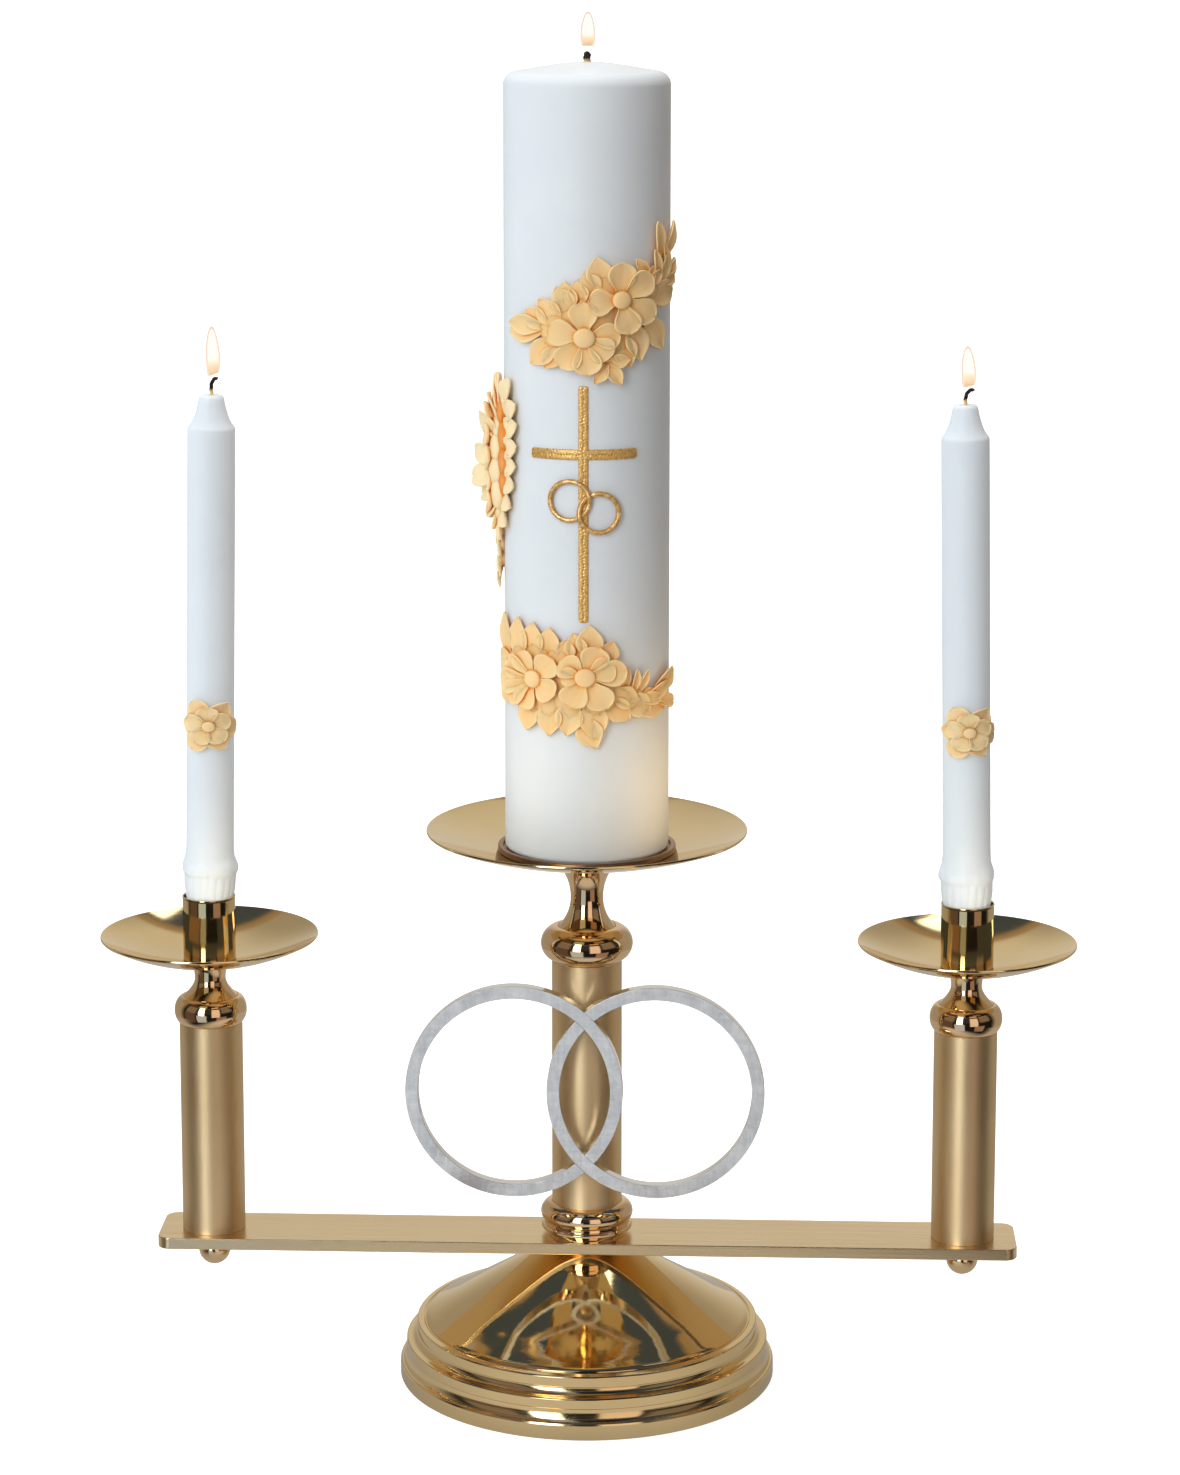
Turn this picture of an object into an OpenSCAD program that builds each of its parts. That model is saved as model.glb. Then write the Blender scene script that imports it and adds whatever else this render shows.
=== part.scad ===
// Wedding unity candle stand: a brass candelabra with one pillar candle,
// two tapers and a pair of interlocking rings.
// Units are millimetres, +Z is up, the origin is the centre of the base
// where the felt meets the table, and the stand faces -Y.

/* [Base] */
// Outside diameter of the foot band
base_d = 177.8; // [175:0.1:180]
// Height of the bar's underside above the table
bar_z = 64.2; // [63.8:0.1:64.6]

/* [Cross bar] */
// Length of the flat bar
bar_len = 406; // [396:1:420]
// Width of the flat bar, front to back
bar_w = 38; // [34:1:42]
// Thickness of the flat bar
bar_t = 5.5; // [5:0.1:6]
// Corner radius of the bar in plan
bar_r = 6; // [3:0.5:10]
// Distance of each side column from the middle
arm_x = 178; // [172:1:182]

/* [Centre column] */
// Outside diameter of the centre tube
col_d = 33; // [30:0.5:34]
// Height of the tube's lower end
col_z0 = 84.6; // [84:0.1:85]
// Height of the tube's upper end
col_z1 = 203.2; // [198:0.1:204]
// Largest radius of the two turned collars
collar_r = 21.7; // [21:0.1:22.5]

/* [Pans] */
// Rim radius of the centre drip pan
pan_r = 75; // [70:0.5:80]
// Rim radius of each side drip pan
side_pan_r = 51.2; // [46:0.2:54]
// Sheet thickness of the pans
pan_t = 1.3; // [1:0.1:1.5]
// Outside radius of the candle seat
seat_r = 41.5; // [40.5:0.1:43]

/* [Side columns] */
// Outside diameter of each side tube
side_d = 29.7; // [28:0.1:30.5]
// Height of each side tube's upper end
side_z1 = 171; // [168:0.1:171.2]
// Outside radius of each taper socket
socket_r = 12.4; // [12.3:0.1:13]
// Height of the taper socket's rim
socket_z1 = 232.3; // [228:0.1:233]

/* [Rings] */
// Outside radius of each ring
ring_r = 50.8; // [48:0.1:52]
// Width of each ring's flat face
ring_w = 6; // [4:0.1:7]
// Depth of each ring, front to back
ring_t = 6.35; // [5:0.05:7]
// Sideways distance of each ring's centre from the middle
ring_x = 33; // [30:0.5:36]
// Height of the rings' centres
ring_z = 146.2; // [142:0.1:149]
// Distance of the rings' front faces from the column's axis
ring_y = 27; // [26:0.1:30]

/* [Pillar candle] */
// Radius of the pillar candle
pillar_r = 38.1; // [37.5:0.1:38.3]
// Height of the top of the pillar's wall
pillar_z1 = 612; // [560:1:640]

/* [Taper candles] */
// Radius of the taper at mid length
taper_r = 11.1; // [10.8:0.1:11.2]
// Height of the left taper's flat tip
left_tip_z = 469.5; // [440:0.5:500]
// Height of the right taper's flat tip
right_tip_z = 466.8; // [440:0.1:500]
// Inward lean of the two tapers
lean = 1.1; // [0:0.1:1.2]

/* [Hidden] */
$fn = 96;

polished = [0.80, 0.62, 0.32];
satin = [0.70, 0.56, 0.38];
silver = [0.78, 0.79, 0.80];
steel = [0.60, 0.61, 0.62];
white_wax = [0.93, 0.95, 0.96];
peach = [0.94, 0.80, 0.60];
gold = [0.82, 0.60, 0.20];

bar_top = bar_z + bar_t;
rod_r = 4;            // centre draw rod, M8
tie_r = 2.5;          // side tie rods, M5
fit = 0.02;           // threaded pieces: rod to hole
col_r = col_d / 2;
side_r = side_d / 2;
side_pan_z = 199.5;   // underside of a side pan at its middle
pan_z = 251;          // underside of the centre pan at its middle
pan_rho = 205;        // the pans are shallow slices of a sphere
side_rho = 107.3;
ring_y1 = ring_y - ring_t;          // back face of the rings
lap_z = sqrt(pow(ring_r - ring_w / 2, 2) - ring_x * ring_x); // crossings above and below ring_z
seat_z0 = 256.6;
seat_z1 = 259.2;
seat_floor = 258;
taper_z0 = 206.6;

// ---- profile helpers: lists of [radius, height] ----
function earc(cr, cz, a, b, t0, t1, n) =
  [for (i = [0:n]) let (t = t0 + (t1 - t0) * i / n) [cr + a * cos(t), cz + b * sin(t)]];
function cap_z(zc, rho, s, r) = zc + rho - sqrt(s * s - r * r);
function dish(zc, rho, t, r0, R, n) = concat(
  [for (i = [0:n]) let (r = r0 + (R - t / 2 - r0) * i / n) [r, cap_z(zc, rho, rho, r)]],
  [[R, cap_z(zc, rho, rho, R) + 0.35], [R - 0.15, cap_z(zc, rho, rho, R) + t + 0.1]],
  [for (i = [0:n]) let (r = R - 1.1 - (R - 1.1 - r0) * i / n) [r, cap_z(zc, rho, rho - t, r)]]);
function rrect(w, d, r, n) = concat(
  [for (i = [0:n]) let (t = 90 * i / n) [w / 2 - r + r * cos(t), d / 2 - r + r * sin(t)]],
  [for (i = [0:n]) let (t = 90 + 90 * i / n) [-w / 2 + r + r * cos(t), d / 2 - r + r * sin(t)]],
  [for (i = [0:n]) let (t = 180 + 90 * i / n) [-w / 2 + r + r * cos(t), -d / 2 + r + r * sin(t)]],
  [for (i = [0:n]) let (t = 270 + 90 * i / n) [w / 2 - r + r * cos(t), -d / 2 + r + r * sin(t)]]);
// outline of a flower with rounded lobes
function petals(R, k, cut, n) =
  [for (i = [0:n - 1]) let (t = 360 * i / n, q = R * (1 - cut + cut * abs(cos(k * t / 2)))) [q * cos(t), q * sin(t)]];
// outline of a pointed leaf that grows from the origin along +X
function leaf(L, W) = concat([[-0.12 * L, 0]],
  [for (i = [1:5]) let (u = i / 6) [L * u, -W / 2 * sin(180 * pow(u, 0.85))]], [[L, 0]],
  [for (i = [1:5]) let (u = 1 - i / 6) [L * u, W / 2 * sin(180 * pow(u, 0.85))]]);

module turn(pts) { rotate_extrude() polygon(pts); }
module at_left() { translate([-arm_x, 0, 0]) children(); }
module at_right() { translate([arm_x, 0, 0]) children(); }

// ================= base =================
module base_felt() {
  color([0.25, 0.16, 0.10]) cylinder(r = base_d / 2 - 2, h = 2);
}
module base_shell() {
  R = base_d / 2;
  color(polished) turn(concat(
    [[R - 1.7, 0.6], [R - 0.6, 0.6], [R, 1.4], [R, 7.6], [R - 0.35, 8.4], [R - 0.8, 8.7]],
    [for (i = [1:6]) let (t = 15 * i) [R - 0.8 - 2.6 * sin(t), 8.7 + 5.5 * (1 - cos(t))]],
    [[R - 3.1, 14.6], [R - 3.05, 18.8], [R - 3.5, 19.3], [R - 4.5, 19.5]],
    [for (i = [1:6]) let (t = 15 * i) [R - 4.5 - 3.9 * sin(t), 19.5 + 3.2 * (1 - cos(t))]],
    [[R - 8.05, 23.1], [R - 8.05, 27.5], [R - 8.5, 28.1], [R - 10.9, 28.45], [R - 11.7, 28.0], [R - 12.3, 28.2],
     [R - 12.4, 28.9], [R - 13, 29.5], [R - 14.4, 30.25], [R - 17, 31.5], [R - 19.9, 33.1], [R - 23, 34.8],
     [R - 26.1, 36.6], [17.5, bar_z - 0.1], [17.2, bar_z], [4.3, bar_z]],
    [[4.3, bar_z - 2.5], [18, bar_z - 2.5], [R - 27.9, 35.9], [R - 14.4, 28.1], [R - 10.1, 26.4],
     [R - 10.1, 21.5], [R - 5.3, 18.2], [R - 5.1, 13.2], [R - 2.3, 8], [R - 1.7, 7]]));
}
module base_weight() {
  color([0.22, 0.22, 0.23]) turn([[15.5, 2.05], [84, 2.05], [84, 6.5], [80, 8], [80, 16], [12, 17.5],
    [10, 19], [10, bar_z - 2.5], [4.3, bar_z - 2.5], [4.3, 10.4], [15.5, 10.4]]);
}
module base_washer() {
  color(steel) difference() {
    translate([0, 0, 8.8]) cylinder(r = 12, h = 1.6);
    translate([0, 0, 8]) cylinder(r = 4.3, h = 4);
  }
}
module base_nut() {
  color(steel) difference() {
    translate([0, 0, 2.4]) cylinder(r = 7.5, h = 6.4, $fn = 6);
    translate([0, 0, 1]) cylinder(r = rod_r + fit, h = 10);
  }
}
module draw_rod() {
  color(steel) turn([[0, 2.6], [3.2, 2.6], [rod_r, 3.4], [rod_r, 235.4], [3.2, 236.2], [0, 236.2]]);
}

// ================= bar and centre column =================
module crossbar() {
  color(satin) difference() {
    translate([0, 0, bar_z]) linear_extrude(bar_t) polygon(rrect(bar_len, bar_w, bar_r, 8));
    translate([0, 0, bar_z - 1]) cylinder(r = rod_r + 0.2, h = bar_t + 2);
    for (s = [-1, 1]) translate([s * arm_x, 0, bar_z - 1]) cylinder(r = tie_r + 0.2, h = bar_t + 2);
  }
}
module lower_collar() {
  q = collar_r;
  color(polished) turn(concat(
    [[rod_r + 0.3, bar_top], [q - 2.0, bar_top], [q - 1.7, bar_top + 1.2], [q - 0.7, bar_top + 2.6],
     [q - 0.2, bar_top + 3.6], [q - 0.2, bar_top + 4.5], [q - 0.7, bar_top + 5.2], [q - 1.5, bar_top + 5.5]],
    earc(14.4, 80.1, q - 14.3, 5.9, -40, 70, 16),
    [[col_r + 0.03, col_z0 + 0.95], [col_r + 0.03, col_z0], [col_r - 2.05, col_z0], [col_r - 2.05, col_z0 + 6], [rod_r + 0.3, col_z0 + 6]]));
}
module centre_column() {
  color(satin) difference() {
    translate([0, 0, col_z0]) cylinder(r = col_r, h = col_z1 - col_z0);
    translate([0, 0, col_z0 - 1]) cylinder(r = col_r - 2, h = col_z1 - col_z0 + 2);
    for (s = [-1, 1]) translate([0, -col_r + 4, ring_z + s * lap_z]) rotate([90, 0, 0]) cylinder(r = 2.4 + fit, h = 8);
  }
}
module upper_collar() {
  q = collar_r;
  color(polished) turn(concat(
    [[rod_r + 0.3, col_z1 - 6], [col_r - 2.05, col_z1 - 6], [col_r - 2.05, col_z1], [col_r - 0.1, col_z1]],
    earc(13.5, 211.4, q - 13.5, 8.3, -66, 88, 22),
    [[13.2, 218.9], [rod_r + 0.3, 218.9]]));
}
module centre_neck() {
  color(polished) turn(concat(
    [[rod_r + fit, 218.9], [13.15, 218.9], [13.3, 219.4]],
    [for (i = [1:12]) let (z = 219.4 + (233.5 - 219.4) * i / 12) [7.7 + 5.5 * pow((233.5 - z) / 14.1, 2.2), z]],
    [for (i = [1:12]) let (z = 233.5 + (250.2 - 233.5) * i / 12) [7.7 + 2.45 * pow((z - 233.5) / 10.5, 2.1), z]],
    [[14.7, 251.2], [14.5, 251.4], [2.95, 250.95], [2.95, 238.8], [rod_r + fit, 236.6]]));
}
module centre_pan() {
  color(polished) turn(dish(pan_z, pan_rho, pan_t, 3.4, pan_r, 22));
}
module candle_seat() {
  color([0.42, 0.30, 0.22]) turn([[3.2, 252.75], [12, 252.75], [12, seat_z0], [seat_r - 0.3, seat_z0],
    [seat_r, seat_z0 + 0.3], [seat_r, seat_z1 - 0.4], [seat_r - 0.4, seat_z1], [39.2, seat_z1],
    [38.9, seat_z1 - 0.3], [38.9, seat_floor], [5.8, seat_floor], [3.2, seat_floor - 2.6]]);
}
module seat_screw() {
  color(steel) difference() {
    turn([[0, 240.6], [2.4, 240.6], [2.93, 241.2], [2.93, seat_floor - 2.85], [5.5, seat_floor - 0.3], [5.5, seat_floor - 0.1], [0, seat_floor - 0.1]]);
    translate([-7, -0.5, seat_floor - 1.1]) cube([14, 1, 3]);
  }
}

// ================= rings =================
module band(cx, grow) {
  translate([cx, 0, ring_z]) rotate([90, 0, 0]) translate([0, 0, ring_y1]) difference() {
    cylinder(r = ring_r + grow, h = ring_t);
    translate([0, 0, -1]) cylinder(r = ring_r - ring_w - grow, h = ring_t + 2);
  }
}
// half of the ring depth at one of the two crossings
module half_lap(front, up) {
  translate([-14, front ? -ring_y - 1 : -ring_y1 - ring_t / 2 - 0.02, ring_z + (up ? lap_z - 16 : -lap_z - 16)])
    cube([28, ring_t / 2 + 1.02, 32]);
}
module left_ring() {
  color(silver) difference() {
    band(-ring_x, 0);
    intersection() { band(ring_x, 0.04); half_lap(false, true); }
    intersection() { band(ring_x, 0.04); half_lap(true, false); }
    for (s = [-1, 1]) translate([0, -ring_y1 + 1, ring_z + s * lap_z]) rotate([90, 0, 0]) cylinder(r = 1.6 + fit, h = 3.6);
  }
}
module right_ring() {
  color(silver) difference() {
    band(ring_x, 0);
    intersection() { band(-ring_x, 0.04); half_lap(true, true); }
    intersection() { band(-ring_x, 0.04); half_lap(false, false); }
    for (s = [-1, 1]) translate([0, -ring_y1 + 1, ring_z + s * lap_z]) rotate([90, 0, 0]) cylinder(r = 1.6 + fit, h = 3.6);
  }
}
module ring_studs() {
  color(silver) for (s = [-1, 1]) translate([0, 0, ring_z + s * lap_z]) rotate([90, 0, 0]) {
    translate([0, 0, col_r - 3.5]) cylinder(r = 2.4, h = ring_y1 - col_r + 3.5);
    translate([0, 0, ring_y1 - 0.5]) cylinder(r = 1.6, h = 2.9);
  }
}

// ================= side arms =================
module side_column() {
  color(satin) difference() {
    translate([0, 0, bar_top]) cylinder(r = side_r, h = side_z1 - bar_top);
    translate([0, 0, bar_top - 1]) cylinder(r = side_r - 2, h = side_z1 - bar_top + 2);
  }
}
module side_collar() {
  color(polished) turn(concat(
    [[tie_r + 0.2, side_z1 - 6], [side_r - 2.05, side_z1 - 6], [side_r - 2.05, side_z1], [side_r - 0.1, side_z1]],
    earc(12.6, 176.9, 4.5, 6.8, -60, 86, 18),
    [[12.6, 183.2], [tie_r + 0.2, 183.2]]));
}
module side_neck() {
  color(polished) turn(concat(
    [[tie_r + 0.2, 183.2], [12.5, 183.2], [12.7, 183.7]],
    [for (i = [1:9]) let (z = 183.7 + (192 - 183.7) * i / 9) [7.3 + 5.4 * pow((192 - z) / 8.3, 1.7), z]],
    [for (i = [1:5]) let (z = 192 + (199.2 - 192) * i / 5) [7.3 + 1.2 * pow((z - 192) / 7.2, 2), z]],
    [[8.3, 199.7], [tie_r + 0.2, 199.45]]));
}
module side_pan() {
  color(polished) turn(dish(side_pan_z, side_rho, pan_t, tie_r + 0.2, side_pan_r, 18));
}
module side_socket() {
  q = socket_r;
  color(polished) turn([[tie_r + fit, 200.98], [6, 200.98], [6, 201.6], [q - 0.2, 201.6], [q, 201.9], [q, socket_z1 - 1.2],
    [q + 0.15, socket_z1 - 0.4], [q + 0.05, socket_z1], [q - 0.45, socket_z1], [q - 0.7, socket_z1 - 0.5], [q - 0.7, taper_z0 - 0.2],
    [0, taper_z0 - 0.2], [0, 205.2], [tie_r + fit, 205.2]]);
}
module tie_rod() {
  color(steel) turn([[0, 56.3], [2, 56.3], [tie_r, 56.8], [tie_r, 204.5], [2, 205], [0, 205]]);
}
module ball_nut() {
  color(polished) turn(concat(
    [[tie_r + fit, bar_z], [tie_r + fit, 56], [0, 56]],
    earc(0, 58.6, 7.5, 7.5, -90, 40, 20), [[5, bar_z]]));
}
module left_column() { at_left() side_column(); }
module left_collar() { at_left() side_collar(); }
module left_neck() { at_left() side_neck(); }
module left_pan() { at_left() side_pan(); }
module left_socket() { at_left() side_socket(); }
module left_tie_rod() { at_left() tie_rod(); }
module left_ball_nut() { at_left() ball_nut(); }
module right_column() { at_right() side_column(); }
module right_collar() { at_right() side_collar(); }
module right_neck() { at_right() side_neck(); }
module right_pan() { at_right() side_pan(); }
module right_socket() { at_right() side_socket(); }
module right_tie_rod() { at_right() tie_rod(); }
module right_ball_nut() { at_right() ball_nut(); }

// ================= pillar candle =================
module pillar_wax() {
  z0 = seat_floor + 0.05;
  color(white_wax) turn(concat(
    [[1.7, z0]],
    earc(pillar_r - 2.5, z0 + 2.5, 2.5, 2.5, -90, 0, 5),
    earc(pillar_r - 6.3, pillar_z1 - 0.3, 6.3, 6.2, 0, 80, 8),
    [[18, 620.2 - 612 + pillar_z1], [1.7, 622 - 612 + pillar_z1]]));
}
module pillar_wick() {
  t = pillar_z1 + 15;
  color([0.12, 0.09, 0.07]) turn([[0, seat_floor + 2], [1.65, seat_floor + 2], [1.65, t - 0.8], [1.1, t], [0, t]]);
}
// places a flat plate on the candle wall: phi from the front towards +X, height z, plate thickness t
module on_wall(phi, z, t) {
  translate([0, 0, z]) rotate([0, 0, phi]) rotate([90, 0, 0]) translate([0, 0, pillar_r - 7]) linear_extrude(7 + t) children();
}
module trim_wall() {
  difference() {
    children();
    translate([0, 0, 250]) cylinder(r = pillar_r + 0.05, h = 400);
  }
}
module bloom(phi, z, R, t) {
  on_wall(phi, z, t) polygon(petals(R, 5, 0.3, 30));
  on_wall(phi, z, t + 1.6) circle(r = R * 0.27);
}
module blade(phi, z, a, L, W, t) { on_wall(phi, z, t) rotate(a) polygon(leaf(L, W)); }
module upper_spray() {
  color(peach) trim_wall() union() {
    bloom(22, 518, 14, 3.2);
    bloom(1, 501, 15, 3.6);
    blade(-20, 506, 184, 20, 9, 2);
    blade(-16, 510, 140, 19, 9, 1.5);
    blade(-14, 499, 216, 17, 9, 1.7);
    blade(8, 520, 104, 20, 8, 1.9);
    blade(14, 500, -52, 15, 9, 2.1);
    blade(30, 506, -70, 15, 8, 1.6);
    blade(42, 520, 20, 16, 9, 1.8);
    blade(58, 531, 62, 13, 9, 2.2);
    blade(76, 536, 88, 16, 8, 1.7);
  }
}
module side_spray() {
  color(peach) trim_wall() union() {
    bloom(-96, 440, 15, 9);
    bloom(-84, 461, 10, 4);
    bloom(-88, 418, 11, 5);
    blade(-92, 468, 84, 15, 9, 2.4);
    blade(-78, 452, 40, 14, 9, 1.9);
    blade(-70, 436, 0, 9, 9, 2.1);
    blade(-80, 414, -40, 13, 9, 1.6);
    blade(-92, 406, -88, 21, 9, 2.6);
    blade(-106, 450, 130, 15, 9, 2.2);
    blade(-106, 426, 220, 15, 9, 1.7);
  }
}
module lower_spray() {
  color(peach) trim_wall() union() {
    bloom(-31, 345, 15, 3.2);
    bloom(2, 346.5, 15.5, 3.6);
    blade(-44, 358, 118, 19, 9, 2);
    blade(-20, 355, 70, 13, 9, 1.5);
    blade(-50, 340, 190, 13, 9, 1.8);
    blade(-34, 334, 236, 16, 9, 2.2);
    blade(-8, 334, -96, 18, 9, 1.7);
    blade(10, 356, 76, 19, 8, 2.1);
    blade(22, 344, -28, 15, 9, 1.6);
    blade(36, 340, 8, 17, 8, 2.3);
    blade(58, 344, 20, 16, 8, 1.8);
    blade(80, 347, 30, 11, 7, 2.1);
  }
}
module wax_cross() {
  w = 2.3; hx = 23.4; z0 = 371; z1 = 479; h0 = 445.4; h1 = 450.3;
  color(gold) intersection() {
    difference() {
      translate([0, 0, 360]) cylinder(r = pillar_r + 0.7, h = 130);
      translate([0, 0, 359]) cylinder(r = pillar_r + 0.05, h = 132);
    }
    rotate([90, 0, 0]) linear_extrude(60) polygon([[-w, z0], [w, z0], [w, h0], [hx, h0], [hx, h1], [w, h1],
      [w, z1], [-w, z1], [-w, h1], [-hx, h1], [-hx, h0], [-w, h0]]);
  }
}
module wax_rings() {
  color(gold) intersection() {
    union() {
      translate([-6.2, 0, 427]) rotate([90, 0, 0]) cylinder(r = 10, h = 60);
      translate([7, 0, 421.4]) rotate([90, 0, 0]) cylinder(r = 10, h = 60);
    }
    difference() {
      translate([0, 0, 405]) cylinder(r = pillar_r + 2.6, h = 40);
      translate([0, 0, 404]) cylinder(r = pillar_r + 0.75, h = 42);
      difference() {
        translate([-6.2, 1, 427]) rotate([90, 0, 0]) cylinder(r = 7.7, h = 62);
        translate([7, 2, 421.4]) rotate([90, 0, 0]) difference() {
          cylinder(r = 10, h = 64);
          translate([0, 0, -1]) cylinder(r = 7.7, h = 66);
        }
      }
      difference() {
        translate([7, 1, 421.4]) rotate([90, 0, 0]) cylinder(r = 7.7, h = 62);
        translate([-6.2, 2, 427]) rotate([90, 0, 0]) difference() {
          cylinder(r = 10, h = 64);
          translate([0, 0, -1]) cylinder(r = 7.7, h = 66);
        }
      }
    }
  }
}

// ================= taper candles =================
// everything on a taper is drawn upright from its foot, then leans inwards
module lean_left() { translate([-arm_x, 0, taper_z0]) rotate([0, lean, 0]) children(); }
module lean_right() { translate([arm_x, 0, taper_z0]) rotate([0, -lean, 0]) children(); }
module taper_wax(tip) {
  L = tip - taper_z0;
  color(white_wax) turn([[0.9, 0], [9.4, 0], [9.9, 0.8], [10.8, 24], [11.1, 26.2], [12.1, 27.2], [12.5, 34], [12.85, 37.5], [12.9, 40],
    [12.6, 42], [11.9, 43.6], [11.4, 45], [taper_r + 0.15, 50], [taper_r, 100], [taper_r, L - 15.5], [taper_r - 0.35, L - 14.6], [taper_r - 1.5, L - 13.4],
    [8.3, L - 10.6], [7.0, L - 7.4], [6.1, L - 3.6], [5.5, L - 1], [4.7, L], [0.9, L]]);
}
module taper_wick(tip) {
  L = tip - taper_z0;
  color([0.10, 0.08, 0.07]) union() {
    translate([0, 0, 1]) cylinder(r = 0.8, h = L + 3);
    translate([0, 0, L + 3]) rotate([0, 32, 0]) cylinder(r = 0.76, h = 3.4);
    translate([2.7 * sin(32), 0, L + 3 + 2.7 * cos(32)]) rotate([0, 4, 0]) cylinder(r = 0.72, h = 2.6);
  }
}
module taper_flower(z, turn_by) {
  color(peach) difference() {
    translate([0, 0, z]) rotate([0, 0, turn_by]) rotate([90, 0, 0]) union() {
      linear_extrude(taper_r + 3.2) polygon(petals(12, 6, 0.35, 36));
      linear_extrude(taper_r + 4.8) circle(r = 2.6);
    }
    translate([0, 0, z - 30]) cylinder(r = taper_r + 0.35, h = 60);
    translate([-20, -2, z - 20]) cube([40, 30, 40]);
  }
}
module left_taper_wax() { lean_left() taper_wax(left_tip_z); }
module left_taper_wick() { lean_left() taper_wick(left_tip_z); }
module left_taper_flower() { lean_left() taper_flower(109.5, 4); }
module right_taper_wax() { lean_right() taper_wax(right_tip_z); }
module right_taper_wick() { lean_right() taper_wick(right_tip_z); }
module right_taper_flower() { lean_right() taper_flower(109.5, 4); }

base_felt();
base_shell();
base_weight();
base_washer();
base_nut();
draw_rod();
crossbar();
lower_collar();
centre_column();
upper_collar();
centre_neck();
centre_pan();
candle_seat();
seat_screw();
left_ring();
right_ring();
ring_studs();
left_column();
left_collar();
left_neck();
left_pan();
left_socket();
left_tie_rod();
left_ball_nut();
right_column();
right_collar();
right_neck();
right_pan();
right_socket();
right_tie_rod();
right_ball_nut();
pillar_wax();
pillar_wick();
upper_spray();
side_spray();
lower_spray();
wax_cross();
wax_rings();
left_taper_wax();
left_taper_wick();
left_taper_flower();
right_taper_wax();
right_taper_wick();
right_taper_flower();
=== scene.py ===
import bpy, bmesh, math, random
from math import sin, cos, tan, pi, radians, degrees, sqrt, atan2, hypot
from mathutils import Vector, Matrix, noise


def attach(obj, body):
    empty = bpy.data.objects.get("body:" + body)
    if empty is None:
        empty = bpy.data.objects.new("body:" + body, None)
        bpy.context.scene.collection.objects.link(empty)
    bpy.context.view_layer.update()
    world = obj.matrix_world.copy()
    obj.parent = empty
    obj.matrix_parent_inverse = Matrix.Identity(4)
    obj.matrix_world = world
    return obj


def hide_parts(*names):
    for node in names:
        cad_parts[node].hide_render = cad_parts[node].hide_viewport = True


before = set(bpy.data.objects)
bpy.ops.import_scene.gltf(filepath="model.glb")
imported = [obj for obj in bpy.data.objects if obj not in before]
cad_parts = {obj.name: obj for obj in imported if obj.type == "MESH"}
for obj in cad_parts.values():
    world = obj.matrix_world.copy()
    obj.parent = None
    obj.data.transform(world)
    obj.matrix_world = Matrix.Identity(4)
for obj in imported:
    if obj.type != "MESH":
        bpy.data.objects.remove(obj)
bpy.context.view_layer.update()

MM = 0.001
RND = random.Random(7)


# ------------------------------------------------------------------ camera
AZ = radians(2.35)
DIST, HEIGHT = 1.784, 0.7013
TILT = radians(9.80)
cam_data = bpy.data.cameras.new("camera")
cam = bpy.data.objects.new("camera", cam_data)
bpy.context.scene.collection.objects.link(cam)
cam.location = (sin(AZ) * DIST, -cos(AZ) * DIST, HEIGHT)
cam.rotation_euler = (radians(90) - TILT, 0, AZ)
cam_data.sensor_fit = "AUTO"
cam_data.sensor_width = 36
cam_data.lens = 95.7
cam_data.shift_x = 0.0021
cam_data.shift_y = -0.12
cam_data.clip_start = 0.05
cam_data.clip_end = 200
bpy.context.scene.camera = cam


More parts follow.
